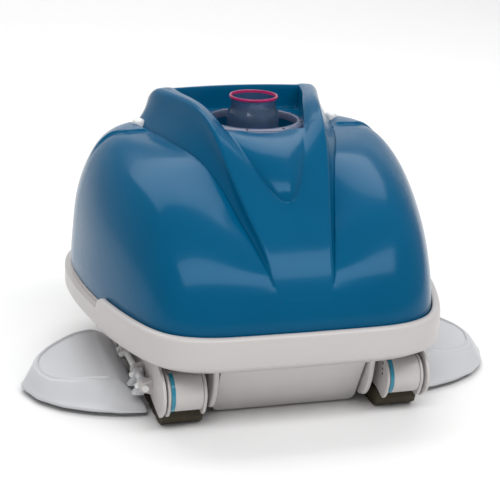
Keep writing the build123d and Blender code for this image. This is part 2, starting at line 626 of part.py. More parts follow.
def reduction_gear():
    phase = mating_phase(pi / 2, PINION_TEETH, REDUCTION_TEETH, REDUCTION_DIRECTION)
    gear = gear_x(REDUCTION_TEETH, phase, DRIVE_X, GEAR_WIDTH, REDUCTION_Y, REDUCTION_Z)
    gear += gear_x(PINION_TEETH, 0, CRANK_GEAR_X - 1, CRANK_GEAR_RUN, REDUCTION_Y, REDUCTION_Z)
    return gear - rod_x(AXLE_RADIUS + RUN_FIT, -THROUGH, THROUGH, REDUCTION_Y, REDUCTION_Z)


def crank_gear():
    phase = mating_phase(0, PINION_TEETH, CRANK_TEETH, CRANK_DIRECTION)
    gear = gear_x(CRANK_TEETH, phase, CRANK_GEAR_X, GEAR_WIDTH, CRANK_Y, CRANK_Z)
    return gear - rod_x(CRANK_SHAFT_RADIUS, -THROUGH, THROUGH, CRANK_Y, CRANK_Z)


def crankshaft():
    shaft = rod_x(CRANK_SHAFT_RADIUS, -CRANK_HALF_LENGTH, CRANK_HALF_LENGTH, CRANK_Y, CRANK_Z)
    for side in (-1, 1):
        middle = side * POD_MIDDLE
        shaft += rod_x(ECCENTRIC_RADIUS, middle - ECCENTRIC_HALF, middle + ECCENTRIC_HALF,
                       CRANK_Y + side * CRANK_THROW, CRANK_Z)
    return shaft


def gear_plates():
    inner = box(INNER_PLATE_X, INNER_PLATE_X + PLATE_THICKNESS, PLATE_FRONT, PLATE_REAR, FLOOR_TOP,
                SHELF_Z + 8)
    outer = box(OUTER_PLATE_X, OUTER_PLATE_X + PLATE_THICKNESS, PLATE_FRONT, PLATE_REAR, FLOOR_TOP,
                CROWN_TIP_Z - 4)
    inner -= rod_x(SHAFT_RADIUS + 1, -THROUGH, 0, CONE_Y, TURBINE_Z)
    shelf = box(BRACKET_END_X, INNER_PLATE_X, CONE_Y - SHELF_HALF, CONE_Y + SHELF_HALF, SHELF_Z,
                SHELF_Z + SHELF_THICKNESS)
    shelf -= rod_z(SHAFT_RADIUS + RUN_FIT, 0, HEIGHT, SPINDLE_X, CONE_Y)
    frame = inner + outer + shelf
    for y, z in PLATE_POSTS:
        frame += rod_x(WALL, OUTER_PLATE_X + PLATE_THICKNESS - 0.5, INNER_PLATE_X + 0.5, y, z)
    frame -= rod_x(CRANK_SHAFT_RADIUS + RUN_FIT, -THROUGH, 0, CRANK_Y, CRANK_Z)
    return frame - rod_x(AXLE_RADIUS, -THROUGH, 0, REDUCTION_Y, REDUCTION_Z)


def crank_bearing():
    end_x = BEARING_X + BEARING_THICKNESS
    stand = box(BEARING_X, end_x, CRANK_Y - BEARING_RADIUS, CRANK_Y + BEARING_RADIUS, FLOOR_TOP, CRANK_Z)
    stand += rod_x(BEARING_RADIUS, BEARING_X, end_x, CRANK_Y, CRANK_Z)
    return stand - rod_x(CRANK_SHAFT_RADIUS + RUN_FIT, 0, THROUGH, CRANK_Y, CRANK_Z)


def crown_gear():
    crown = rod_z(CROWN_RADIUS + 2, CROWN_ROOT_Z, CROWN_ROOT_Z + CROWN_DISC, SPINDLE_X, CONE_Y)
    tooth = box(CROWN_RADIUS - CROWN_TOOTH_DEPTH, CROWN_RADIUS + CROWN_TOOTH_DEPTH, -CROWN_TOOTH_HALF,
                CROWN_TOOTH_HALF, CROWN_TIP_Z, CROWN_ROOT_Z + PAST)
    for index in range(CROWN_TEETH):
        turn = 360 / CROWN_TEETH * (index + 0.5)
        crown += Pos(SPINDLE_X, CONE_Y, 0) * Rot(0, 0, turn) * tooth
    return crown - rod_z(SHAFT_RADIUS, 0, HEIGHT, SPINDLE_X, CONE_Y)


def spindle_gear():
    gear = gear_z(SPINDLE_TEETH, 0, SWIVEL_Z, GEAR_WIDTH, SPINDLE_X, CONE_Y)
    return gear - rod_z(SHAFT_RADIUS, 0, HEIGHT, SPINDLE_X, CONE_Y)


def swivel_gear():
    phase = mating_phase(0, SPINDLE_TEETH, SWIVEL_TEETH, 0)
    gear = gear_z(SWIVEL_TEETH, phase, SWIVEL_Z, GEAR_WIDTH, 0, CONE_Y)
    return gear - rod_z(CONE_RADIUS, 0, HEIGHT, 0, CONE_Y)


# ---- Hose cone -----------------------------------------------------------------------------
def hose_cone():
    cone = tube_z(CONE_RADIUS, CONE_BORE, CONE_BOTTOM, HEIGHT - CONE_RIM_HEIGHT, 0, CONE_Y)
    return cone + tube_z(CONE_FLANGE_RADIUS, CONE_BORE + 1, CONE_FLANGE_Z, CONE_FLANGE_Z + FLANGE_THICKNESS,
                         0, CONE_Y)


def swivel_deck():
    """Plate over the turbine that carries the cone's spigot and the spindle's upper bearing."""
    deck = rod_z(DECK_RADIUS, DECK_Z, DECK_Z + DECK_THICKNESS, 0, CONE_Y)
    deck += box(BRACKET_END_X, 0, CONE_Y - SHELF_HALF, CONE_Y + SHELF_HALF, DECK_Z, DECK_Z + DECK_THICKNESS)
    deck -= rod_z(CONE_BORE - RUN_FIT, 0, HEIGHT, 0, CONE_Y)
    return deck - rod_z(SHAFT_RADIUS + RUN_FIT, 0, HEIGHT, SPINDLE_X, CONE_Y)


def cone_spigot():
    """Fixed sleeve that the cone turns on, with a collar that seats on the turbine's outlet duct."""
    sleeve = tube_z(CONE_BORE - RUN_FIT, SPIGOT_BORE, DECK_Z, SPIGOT_TOP, 0, CONE_Y)
    return sleeve + tube_z(CONE_BORE + WALL, SPIGOT_BORE, DECK_Z - SOCKET_DEPTH, DECK_Z, 0, CONE_Y)


# ---- Loose and fastening pieces ------------------------------------------------------------
def cover_screws():
    """Pan-head screws that come up through the tray into the cover's bosses."""
    pieces = []
    for x, y in COVER_BOSSES:
        head = rod_z(SCREW_HEAD_RADIUS, FLOOR_Z - SCREW_HEAD_HEIGHT, FLOOR_Z, x, y)
        pieces.append(head + rod_z(SCREW_RADIUS, FLOOR_Z, FLOOR_Z + SCREW_LENGTH, x, y))
    return Compound(children=pieces)


def catch():
    """Pale lug where the cover is released, at the back of the shoulder."""
    lug = box(*CATCH_BLOCK) - box(*CATCH_GROOVE)
    return (lug - hood(0)) - spine(0)


PARTS = {
    "upper_cover": upper_cover(),
    "lower_body": lower_body(),
    "front_bumper": front_bumper(),
    "left_skirt": mirrored(skirt()),
    "right_skirt": skirt(),
    "throat_intake": throat_intake(),
    "turbine_housing_lower": housing_half(False),
    "turbine_housing_upper": housing_half(True),
    "turbine_bush_left": mirrored(turbine_bush()),
    "turbine_bush_right": turbine_bush(),
    "turbine_rotor": turbine_rotor(),
    "turbine_shaft": rod_x(SHAFT_RADIUS, SHAFT_LEFT, SHAFT_RIGHT, CONE_Y, TURBINE_Z),
    "turbine_pinion": turbine_pinion(),
    "reduction_gear": reduction_gear(),
    "reduction_axle": rod_x(AXLE_RADIUS, OUTER_PLATE_X, INNER_PLATE_X + PLATE_THICKNESS, REDUCTION_Y,
                            REDUCTION_Z),
    "crank_gear": crank_gear(),
    "crankshaft": crankshaft(),
    "crank_bearing_left": mirrored(crank_bearing()),
    "crank_bearing_right": crank_bearing(),
    "gear_plates": gear_plates(),
    "crown_gear": crown_gear(),
    "steering_spindle": rod_z(SHAFT_RADIUS, CROWN_ROOT_Z, SWIVEL_Z + GEAR_WIDTH + 2, SPINDLE_X, CONE_Y),
    "spindle_gear": spindle_gear(),
    "swivel_gear": swivel_gear(),
    "swivel_deck": swivel_deck(),
    "cone_spigot": cone_spigot(),
    "cone_thrust_ring": tube_z(DECK_RADIUS, CONE_BORE + 1, DECK_Z + DECK_THICKNESS, CONE_BOTTOM - GAP,
                               0, CONE_Y),
    "hose_cone": hose_cone(),
    "cone_rim_ring": tube_z(CONE_RADIUS, CONE_BORE, HEIGHT - CONE_RIM_HEIGHT, HEIGHT, 0, CONE_Y),
    "cone_guard_ring": tube_z(GUARD_RADIUS, HOLE_RADIUS, RECESS_FLOOR,
                              RECESS_FLOOR + GUARD_HEIGHT, 0, CONE_Y),
    "left_wing": mirrored(wing()),
    "right_wing": wing(),
    "left_wing_pin": rod_y(WING_PIN_RADIUS, WING_PIN_FRONT, WING_PIN_REAR, -WING_PIVOT_X, WING_PIVOT_Z),
    "right_wing_pin": rod_y(WING_PIN_RADIUS, WING_PIN_FRONT, WING_PIN_REAR, WING_PIVOT_X, WING_PIVOT_Z),
    "front_flap": flap(),
    "rear_flap": mirror(flap(), about=Plane.XZ),
    "front_flap_pin": rod_x(FLAP_PIN_RADIUS, -FLAP_PIN_HALF, FLAP_PIN_HALF, -FLAP_PIVOT_Y, FLAP_PIVOT_Z),
    "rear_flap_pin": rod_x(FLAP_PIN_RADIUS, -FLAP_PIN_HALF, FLAP_PIN_HALF, FLAP_PIVOT_Y, FLAP_PIVOT_Z),
    "float_block": box(*FLOAT_BLOCK),
    "ballast_weight": box(-BALLAST_HALF, BALLAST_HALF, BALLAST_FRONT, BALLAST_REAR, FLOOR_TOP,
                          FLOOR_TOP + BALLAST_HEIGHT),
    "cover_screws": cover_screws(),
    "cover_catches": Compound(children=catch().solids() + mirrored(catch()).solids()),
}
SIDES = {"left": -1, "right": 1}
POD_PIECES = {"pod_shell": pod_shell, "pod_cheeks": pod_cheeks, "pod_arm": pod_arm, "shoe": shoe}
for side, sign in SIDES.items():
    for name, make in POD_PIECES.items():
        solids = make().solids()
        PARTS[f"{side}_{name}"] = Compound(children=solids if sign > 0 else [mirrored(s) for s in solids])
    axle = rod_x(POD_AXLE_RADIUS, CHEEK_X, SKIRT_X + SKIRT_THICKNESS, POD_PIVOT_Y, POD_PIVOT_Z)
    PARTS[f"{side}_pod_axle"] = axle if sign > 0 else mirrored(axle)
    shift = 0 if sign > 0 else -2 * POD_MIDDLE
    PARTS[f"{side}_nose_ring"] = Pos(shift, 0, 0) * nose_ring()

os.makedirs("parts", exist_ok=True)
for name, piece in PARTS.items():
    export_step(piece, f"parts/{name}.step")
    print(name, len(piece.solids()), round(piece.volume))
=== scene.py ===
import json
import math

import bmesh
import bpy
import numpy as np
from mathutils import Matrix, Vector


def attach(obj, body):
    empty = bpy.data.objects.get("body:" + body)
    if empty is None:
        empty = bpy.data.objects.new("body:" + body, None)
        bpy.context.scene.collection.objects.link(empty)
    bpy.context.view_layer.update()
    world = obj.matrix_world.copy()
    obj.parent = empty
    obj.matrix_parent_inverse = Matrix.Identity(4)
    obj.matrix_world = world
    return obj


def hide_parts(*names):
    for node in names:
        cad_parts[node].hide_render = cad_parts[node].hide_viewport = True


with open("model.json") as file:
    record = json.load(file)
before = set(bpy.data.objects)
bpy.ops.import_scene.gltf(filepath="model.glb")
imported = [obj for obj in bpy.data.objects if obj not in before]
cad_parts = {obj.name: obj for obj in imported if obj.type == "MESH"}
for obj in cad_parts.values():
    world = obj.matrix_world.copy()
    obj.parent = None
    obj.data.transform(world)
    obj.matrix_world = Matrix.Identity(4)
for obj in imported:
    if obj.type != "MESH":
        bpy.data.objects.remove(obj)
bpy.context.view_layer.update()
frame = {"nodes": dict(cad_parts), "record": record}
MM = 0.001


# ---- Small maths ---------------------------------------------------------------------------
CURVE_SAMPLES = 1200


def spline(knots, values, at):
    """Values of a C2 cubic spline through the given knots."""
    x = np.asarray(knots, float)
    y = np.asarray(values, float)
    n = len(x)
    gap = np.diff(x)
    slope = np.diff(y) / gap
    matrix = np.eye(n)
    right = np.zeros(n)
    for i in range(1, n - 1):
        matrix[i, i - 1:i + 2] = gap[i - 1], 2 * (gap[i - 1] + gap[i]), gap[i]
        right[i] = 6 * (slope[i] - slope[i - 1])
    bend = np.linalg.solve(matrix, right)
    at = np.asarray(at, float)
    k = np.clip(np.searchsorted(x, at) - 1, 0, n - 2)
    a = (x[k + 1] - at) / gap[k]
    b = 1 - a
    cubic = ((a**3 - a) * bend[k] + (b**3 - b) * bend[k + 1]) * gap[k] ** 2 / 6
    return a * y[k] + b * y[k + 1] + cubic


def column(table, index, y):
    """One column of a table of stations, as a smooth curve over its first column."""
    return spline([row[0] for row in table], [row[index] for row in table], y)


def smooth(low, high, value):
    """Smooth step from 0 at low to 1 at high."""
    t = np.clip((np.asarray(value, float) - low) / (high - low), 0, 1)
    return t * t * t * (t * (6 * t - 15) + 10)


def evenly(points, count):
    """The same polyline with evenly spaced points."""
    far = np.concatenate([[0], np.cumsum(np.linalg.norm(np.diff(points, axis=0), axis=1))])
    want = np.linspace(0, far[-1], count)
    return np.stack([np.interp(want, far, points[:, i]) for i in range(points.shape[1])], -1)


def along(points, count):
    """Evenly spaced points of the smooth curve through the given points."""
    points = np.asarray(points, float)
    steps = np.linalg.norm(np.diff(points, axis=0), axis=1)
    knots = np.concatenate([[0], np.cumsum(steps)])
    fine = np.linspace(0, knots[-1], CURVE_SAMPLES)
    return evenly(np.stack([spline(knots, values, fine) for values in points.T], -1), count)


def arc(centre, radius, start, end, steps):
    """Points of an arc in a plane, angles in degrees."""
    return [(centre[0] + radius * math.cos(a), centre[1] + radius * math.sin(a))
            for a in np.radians(np.linspace(start, end, steps))]


# ---- Materials -----------------------------------------------------------------------------
NOISE_LOW, NOISE_HIGH = 0.3, 0.7
MOTTLE_SCALE = 14.0
SCUFF_SCALE, SCUFF_SPREAD = 60.0, 0.04
GRAIN_STRENGTH = 0.35
RIPPLE_SCALE, RIPPLE_STRENGTH = 26.0, 0.5


def new_material(name):
    """A material with its nodes, links and shader."""
    material = bpy.data.materials.new(name)
    material.use_nodes = True
    nodes = material.node_tree.nodes
    return material, nodes, material.node_tree.links, nodes["Principled BSDF"]


def noise(nodes, links, scale, detail=4.0, roughness=0.55):
    """Noise in the object's own space."""
    place = nodes.new("ShaderNodeTexCoord")
    texture = nodes.new("ShaderNodeTexNoise")
    texture.inputs["Scale"].default_value = scale
    texture.inputs["Detail"].default_value = detail
    texture.inputs["Roughness"].default_value = roughness
    links.new(place.outputs["Object"], texture.inputs["Vector"])
    return texture.outputs["Fac"]


def remap(nodes, links, value, low, high):
    """Noise stretched from its usual span to the one given."""
    node = nodes.new("ShaderNodeMapRange")
    node.inputs["From Min"].default_value = NOISE_LOW
    node.inputs["From Max"].default_value = NOISE_HIGH
    node.inputs["To Min"].default_value = low
    node.inputs["To Max"].default_value = high
    links.new(value, node.inputs["Value"])
    return node.outputs["Result"]


def blend_colour(nodes, links, value, first, second):
    """Colour that goes from the first to the second with the value."""
    mix = nodes.new("ShaderNodeMix")
    mix.data_type = "RGBA"
    mix.inputs["A"].default_value = (*first, 1)
    mix.inputs["B"].default_value = (*second, 1)
    links.new(value, mix.inputs["Factor"])
    return mix.outputs["Result"]


def bump(nodes, links, height, strength, distance, normal=None):
    """Normal with a height map's relief, on top of an earlier one if given."""
    node = nodes.new("ShaderNodeBump")
    node.inputs["Strength"].default_value = strength
    node.inputs["Distance"].default_value = distance
    links.new(height, node.inputs["Height"])
    if normal:
        links.new(normal, node.inputs["Normal"])
    return node.outputs["Normal"]


def plastic(name, colour, roughness, tint=0.06, grain=900.0, grain_depth=0.00004, ripple=0.0,
            coat=0.0, coat_roughness=0.05, specular=0.5, gloss_tint=(1, 1, 1)):
    """Moulded plastic: faint mottling, fine surface grain and, if asked, slow ripples."""
    material, nodes, links, shader = new_material(name)
    cloud = noise(nodes, links, MOTTLE_SCALE, detail=3.0)
    darker = tuple(c * (1 - tint) for c in colour)
    lighter = tuple(min(1.0, c * (1 + tint)) for c in colour)
    links.new(blend_colour(nodes, links, remap(nodes, links, cloud, 0, 1), darker, lighter),
              shader.inputs["Base Color"])
    scuff = noise(nodes, links, SCUFF_SCALE, detail=5.0, roughness=0.7)
    low, high = roughness * (1 - SCUFF_SPREAD), roughness * (1 + SCUFF_SPREAD)
    links.new(remap(nodes, links, scuff, low, high), shader.inputs["Roughness"])
    normal = bump(nodes, links, noise(nodes, links, grain, detail=2.0), GRAIN_STRENGTH, grain_depth)
    if ripple:
        wave = noise(nodes, links, RIPPLE_SCALE, detail=1.0)
        normal = bump(nodes, links, wave, RIPPLE_STRENGTH, ripple, normal)
    links.new(normal, shader.inputs["Normal"])
    shader.inputs["Coat Weight"].default_value = coat
    shader.inputs["Coat Roughness"].default_value = coat_roughness
    shader.inputs["Specular IOR Level"].default_value = specular
    shader.inputs["Specular Tint"].default_value = (*gloss_tint, 1)
    return material


def clear_plastic(name, colour, roughness, transmission):
    """Tinted translucent plastic with faint flow marks."""
    material, nodes, links, shader = new_material(name)
    flow = noise(nodes, links, 45.0, detail=3.0)
    deep = tuple(c * 0.75 for c in colour)
    links.new(blend_colour(nodes, links, remap(nodes, links, flow, 0, 1), deep, colour),
              shader.inputs["Base Color"])
    haze = noise(nodes, links, 120.0, detail=3.0)
    links.new(remap(nodes, links, haze, roughness * 0.8, roughness * 1.2), shader.inputs["Roughness"])
    links.new(bump(nodes, links, flow, 0.2, 0.0002), shader.inputs["Normal"])
    shader.inputs["Transmission Weight"].default_value = transmission
    shader.inputs["IOR"].default_value = 1.35
    return material


def rubber(name, colour):
    """Dull rubber with pale dust in its grain."""
    material, nodes, links, shader = new_material(name)
    dust = noise(nodes, links, 40.0, detail=6.0, roughness=0.7)
    pale = tuple(c * 2.2 for c in colour)
    links.new(blend_colour(nodes, links, remap(nodes, links, dust, 0, 0.8), colour, pale),
              shader.inputs["Base Color"])
    links.new(remap(nodes, links, dust, 0.55, 0.8), shader.inputs["Roughness"])
    grain = noise(nodes, links, 700.0, detail=4.0)
    links.new(bump(nodes, links, grain, 0.6, 0.0001), shader.inputs["Normal"])
    shader.inputs["Specular IOR Level"].default_value = 0.35
    return material


def metal(name, colour, roughness):
    """Metal with a fine, uneven finish."""
    material, nodes, links, shader = new_material(name)
    finish = noise(nodes, links, 350.0, detail=5.0, roughness=0.6)
    dull = tuple(c * 0.8 for c in colour)
    links.new(blend_colour(nodes, links, remap(nodes, links, finish, 0, 1), dull, colour),
              shader.inputs["Base Color"])
    links.new(remap(nodes, links, finish, roughness * 0.7, roughness * 1.3), shader.inputs["Roughness"])
    links.new(bump(nodes, links, finish, 0.2, 0.00005), shader.inputs["Normal"])
    shader.inputs["Metallic"].default_value = 1.0
    return material


MATERIALS = {
    "blue_shell": plastic("blue_shell", (0.0, 0.082, 0.18), roughness=0.2, tint=0.04, grain=1500.0,
                          grain_depth=0.00001, ripple=0.00004, coat=0.06, coat_roughness=0.03,
                          specular=0.2, gloss_tint=(0.35, 0.65, 1.0)),
    "pale_plastic": plastic("pale_plastic", (0.53, 0.505, 0.497), roughness=0.34, tint=0.012),
    "wing_plastic": plastic("wing_plastic", (0.545, 0.55, 0.57), roughness=0.3, tint=0.01),
    "flap_plastic": plastic("flap_plastic", (0.62, 0.6, 0.59), roughness=0.42, tint=0.03),
    "dark_plastic": plastic("dark_plastic", (0.03, 0.032, 0.036), roughness=0.45, tint=0.1),
    "white_plastic": plastic("white_plastic", (0.8, 0.8, 0.79), roughness=0.35, tint=0.02),
    "acetal": plastic("acetal", (0.72, 0.7, 0.64), roughness=0.4, tint=0.04),
    "smoky_clear": clear_plastic("smoky_clear", (0.26, 0.4, 0.6), roughness=0.08, transmission=0.85),
    "magenta_clear": clear_plastic("magenta_clear", (0.62, 0.03, 0.2), roughness=0.12, transmission=0.45),
    "guard_plastic": plastic("guard_plastic", (0.085, 0.105, 0.18), roughness=0.2, tint=0.05),
    "teal_plastic": plastic("teal_plastic", (0.005, 0.2, 0.3), roughness=0.25, tint=0.05, coat=0.4),
    "shoe_rubber": rubber("shoe_rubber", (0.035, 0.028, 0.016)),
    "steel": metal("steel", (0.6, 0.61, 0.63), roughness=0.3),
    "foam": plastic("foam", (0.75, 0.75, 0.72), roughness=0.8, tint=0.05, grain=300.0, grain_depth=0.0004),
}


# ---- Mesh helpers --------------------------------------------------------------------------
ROUNDED_ANGLE, CRISP_ANGLE = 30, 40


def shade_smooth(mesh, crisp_angle=None):
    """Smooth shading on every face; edges sharper than the angle, if given, stay crisp."""
    mesh.polygons.foreach_set("use_smooth", [True] * len(mesh.polygons))
    if crisp_angle:
        mesh.set_sharp_from_angle(angle=math.radians(crisp_angle))


def add_piece(name, vertices, faces, material, body, slot=None, stands_for=(), smooth_angle=None):
    """Object from vertices in millimetres. With a smooth angle, sharper edges stay crisp."""
    mesh = bpy.data.meshes.new(name)
    mesh.from_pydata((np.asarray(vertices, float) * MM).tolist(), [], [list(map(int, f)) for f in faces])
    mesh.validate()
    mesh.update()
    piece = bpy.data.objects.new(name, mesh)
    bpy.context.scene.collection.objects.link(piece)
    mesh.materials.append(MATERIALS[material])
    shade_smooth(mesh, smooth_angle)
    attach(piece, body)
    if stands_for:
        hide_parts(*stands_for)
    return piece


def apply_modifier(piece, modifier):
    """Make a modifier's result the piece's own mesh."""
    bpy.context.view_layer.objects.active = piece
    with bpy.context.temp_override(object=piece, active_object=piece, selected_objects=[piece]):
        bpy.ops.object.modifier_apply(modifier=modifier.name)


def bevel(piece, width, segments=3):
    """Round the sharp edges."""
    modifier = piece.modifiers.new("round", "BEVEL")
    modifier.width = width * MM
    modifier.segments = segments
    modifier.limit_method = "ANGLE"
    modifier.angle_limit = math.radians(ROUNDED_ANGLE)
    modifier.miter_outer = "MITER_ARC"
    modifier.harden_normals = False
    apply_modifier(piece, modifier)
    shade_smooth(piece.data, CRISP_ANGLE)


def thicken(piece, thickness):
    """Give a skin a wall on its inner side."""
    modifier = piece.modifiers.new("wall", "SOLIDIFY")
    modifier.thickness = thickness * MM
    modifier.offset = -1
    modifier.use_even_offset = False
    apply_modifier(piece, modifier)
    shade_smooth(piece.data)


def tidy_normals(piece):
    """Turn every face outwards."""
    work = bmesh.new()
    work.from_mesh(piece.data)
    bmesh.ops.recalc_face_normals(work, faces=work.faces)
    work.to_mesh(piece.data)
    work.free()


def join(pieces, name):
    """One object from several."""
    first = pieces[0]
    with bpy.context.temp_override(object=first, active_object=first, selected_objects=pieces,
                                   selected_editable_objects=pieces):
        bpy.ops.object.join()
    first.name = name
    return first


def grid_faces(rows, columns, closed=False, keep=None):
    """Quads between rows of points; a closed grid joins its last column to its first."""
    faces = []
    last = columns if closed else columns - 1
    for i in range(rows - 1):
        for j in range(last):
            k = (j + 1) % columns
            if keep is None or keep[i, j]:
                here, there = i * columns, (i + 1) * columns
                faces.append((here + j, here + k, there + k, there + j))
    return faces


def grid_piece(name, grid, material, body, closed=False, keep=None, **more):
    """Piece from a grid of points, without the points that no kept face uses."""
    faces = grid_faces(*grid.shape[:2], closed, keep)
    used = sorted({v for f in faces for v in f})
    renumber = {v: i for i, v in enumerate(used)}
    faces = [tuple(renumber[v] for v in f) for f in faces]
    return add_piece(name, grid.reshape(-1, 3)[used], faces, material, body, **more)


def lathe(name, profile, centre, material, body, steps=128, **more):
    """Solid of revolution about a vertical axis; the profile is a closed loop of (radius, z)."""
    turn = np.linspace(0, 2 * math.pi, steps, endpoint=False)
    rings = [np.stack([centre[0] + r * np.cos(turn), centre[1] + r * np.sin(turn), np.full(steps, z)], -1)
             for r, z in profile]
    faces = []
    for i in range(len(profile)):
        here, there = i * steps, (i + 1) % len(profile) * steps
        for j in range(steps):
            k = (j + 1) % steps
            faces.append((here + j, here + k, there + k, there + j))
    return add_piece(name, np.vstack(rings), faces, material, body, **more)


def prism_faces(count):
    """Ends and sides between one outline's points and its copy's, listed one after the other."""
    faces = [tuple(range(count)), tuple(range(2 * count - 1, count - 1, -1))]
    return faces + [(i, i + count, (i + 1) % count + count, (i + 1) % count) for i in range(count)]


def extrude(name, outline, along_axis, span, material, body, round_by, segments=3, **more):
    """Solid with rounded edges from an outline in the plane across one axis."""
    order = {"x": lambda a, u, v: (a, u, v), "y": lambda a, u, v: (u, a, v)}[along_axis]
    vertices = [order(a, u, v) for a in span for u, v in outline]
    piece = add_piece(name, vertices, prism_faces(len(outline)), material, body, **more)
    tidy_normals(piece)
    bevel(piece, round_by, segments)
    return piece


def rod(name, start, end, radius, material, body, sides=24):
    """Round-ended peg between two points."""
    start, end = np.array(start, float), np.array(end, float)
    way = (end - start) / np.linalg.norm(end - start)
    side = np.cross(way, (0, 0, 1.0))
    side /= np.linalg.norm(side)
    other = np.cross(way, side)
    ends = [(0.0, 0.35), (0.12, 0.75), (0.4, 1.0)]
    stops = [(start + way * radius * inset, size) for inset, size in ends]
    stops += [(end - way * radius * inset, size) for inset, size in reversed(ends)]
    turn = np.linspace(0, 2 * math.pi, sides, endpoint=False)
    rings = [point + radius * size * (np.outer(np.cos(turn), side) + np.outer(np.sin(turn), other))
             for point, size in stops]
    faces = grid_faces(len(rings), sides, closed=True)
    faces += [tuple(range(sides))[::-1], tuple((len(rings) - 1) * sides + k for k in range(sides))]
    piece = add_piece(name, np.vstack(rings), faces, material, body)
    tidy_normals(piece)
    return piece


# ---- Camera, floor and light ---------------------------------------------------------------
VIEW_TARGET = Vector((0, 0.014, 0.09476))
VIEW_DISTANCE = 1.2518
VIEW_AZIMUTH = math.radians(-16.46)
VIEW_ELEVATION = math.radians(18.44)
VIEW_ROLL = math.radians(1.97)
LENS, SENSOR = 108, 36
NEAREST, FURTHEST = 0.05, 50
FLOOR_REACH = 6.0
WALL_Y, WALL_CURVE, WALL_TOP = 1.6, 0.8, 4.0
SURROUND = 0.42


def set_camera():
    """Camera a little above and to the left, with a slight roll."""
    camera = bpy.data.objects.new("camera", bpy.data.cameras.new("camera"))
    bpy.context.scene.collection.objects.link(camera)
    camera.data.lens = LENS
    camera.data.sensor_width = SENSOR
    camera.data.clip_start = NEAREST
    camera.data.clip_end = FURTHEST
    back = Vector((math.sin(VIEW_AZIMUTH) * math.cos(VIEW_ELEVATION),
                   -math.cos(VIEW_AZIMUTH) * math.cos(VIEW_ELEVATION), math.sin(VIEW_ELEVATION)))
    camera.location = VIEW_TARGET + back * VIEW_DISTANCE
    turn = back.to_track_quat("Z", "Y").to_matrix() @ Matrix.Rotation(VIEW_ROLL, 3, "Z")
    camera.rotation_euler = turn.to_euler()
    bpy.context.scene.camera = camera


def soft_box(name, location, target, size, power):
    """Rectangular area light that faces a target."""
    data = bpy.data.lights.new(name, "AREA")
    data.shape = "RECTANGLE"
    data.size, data.size_y = size
    data.energy = power
    lamp = bpy.data.objects.new(name, data)
    bpy.context.scene.collection.objects.link(lamp)
    lamp.location = location
    aim = Vector(location) - Vector(target)
    lamp.rotation_euler = aim.to_track_quat("Z", "Y").to_euler()


def studio_floor():
    """White floor that curves up into a wall behind the part."""
    material, nodes, links, shader = new_material("studio_floor")
    links.new(blend_colour(nodes, links, noise(nodes, links, 2.0), (0.86, 0.86, 0.86), (0.88, 0.88, 0.88)),
              shader.inputs["Base Color"])
    shader.inputs["Roughness"].default_value = 0.9
    curve = [(-FLOOR_REACH, 0.0), (WALL_Y, 0.0)]
    curve += [(WALL_Y + WALL_CURVE * math.sin(a), WALL_CURVE * (1 - math.cos(a)))
              for a in np.linspace(0.15, math.pi / 2, 10)]
    curve += [(WALL_Y + WALL_CURVE, WALL_TOP)]
    vertices = [(x, y, z) for x in (-FLOOR_REACH, FLOOR_REACH) for y, z in curve]
    count = len(curve)
    mesh = bpy.data.meshes.new("studio_floor")
    mesh.from_pydata(vertices, [], [(i, i + count, i + count + 1, i + 1) for i in range(count - 1)])
    shade_smooth(mesh)
    mesh.materials.append(material)
    floor = bpy.data.objects.new("studio_floor", mesh)
    bpy.context.scene.collection.objects.link(floor)


def set_light():
    """Even white surround with one long light in front and a wide one above and behind."""
    world = bpy.data.worlds.new("studio")
    world.use_nodes = True
    background = world.node_tree.nodes["Background"]
    background.inputs["Color"].default_value = (1, 1, 1, 1)
    background.inputs["Strength"].default_value = SURROUND
    bpy.context.scene.world = world
    bpy.context.scene.view_settings.view_transform = "Standard"
    soft_box("key_light", location=(0.1, -1.25, 1.9), target=(0, 0, 0.1), size=(3.2, 0.75), power=38)
    soft_box("top_light", location=(0.0, 1.2, 2.3), target=(0, 0.2, 0.1), size=(3.0, 1.4), power=36)


# ---- Cover ---------------------------------------------------------------------------------
CONE_CENTRE = (0.0, 19.0)
SHELL = 2.4
WIDEST_Y = 39.0
PLAN_SAMPLES = 1600
# Right half of the outline seen from above, on a square of side 2.
HALF_PLAN = [
    (0.0, -1.0), (0.31, -0.997), (0.545, -0.978), (0.72, -0.9), (0.825, -0.75), (0.91, -0.53),
    (0.972, -0.275), (1.0, 0.0), (0.965, 0.44), (0.84, 0.765), (0.615, 0.935), (0.315, 0.99), (0.0, 1.0),
]
# Levels of the dome upwards: height, half width, front, rear.
DOME = [
    (76.5, 143, -142.9, 144.8), (84, 142.9, -142.5, 144.5), (104, 141.6, -138.0, 142),
    (130, 139.4, -121.8, 134.5), (153, 134.5, -98, 123), (171, 127.2, -68, 110.5), (183, 118, -33, 99),
    (189.5, 108, -6, 90.5), (191.6, 97, 14, 82), (192.2, 77.2, 34, 50),
]
DOME_LEVELS = 120
# Points of one level in front of the spine, on a flank and behind the spine.
FRONT_POINTS, FLANK_POINTS, BACK_POINTS = 26, 190, 44
# Crease between a shoulder and the spine: along the body, distance from the middle, height.
CREASE = [
    (-137, 20.5, 106.8), (-128, 24.2, 119.7), (-114.5, 28.4, 131), (-100.7, 32.5, 141), (-84, 37.6, 152),
    (-66.8, 42.7, 164.4), (-50, 48.1, 175.4), (-28.3, 55.6, 185.2), (-2.3, 65, 189.6), (25, 73, 191.2),
    (50, 79, 191.6), (76, 84, 190.5), (100, 84, 182), (125, 75, 150), (138, 66, 118),
]
CREASE_START, CREASE_END = CREASE[0][0], CREASE[-1][0]
# The crease's own height is held behind this station. Its share fades in and out between the others.
CREASE_HEIGHT_END = 100.0
SHARE_IN, SHARE_OUT = (-139, -131), (60, 84)
# How far from the crease the shoulders sink towards it.
CREASE_REACH = 62.0
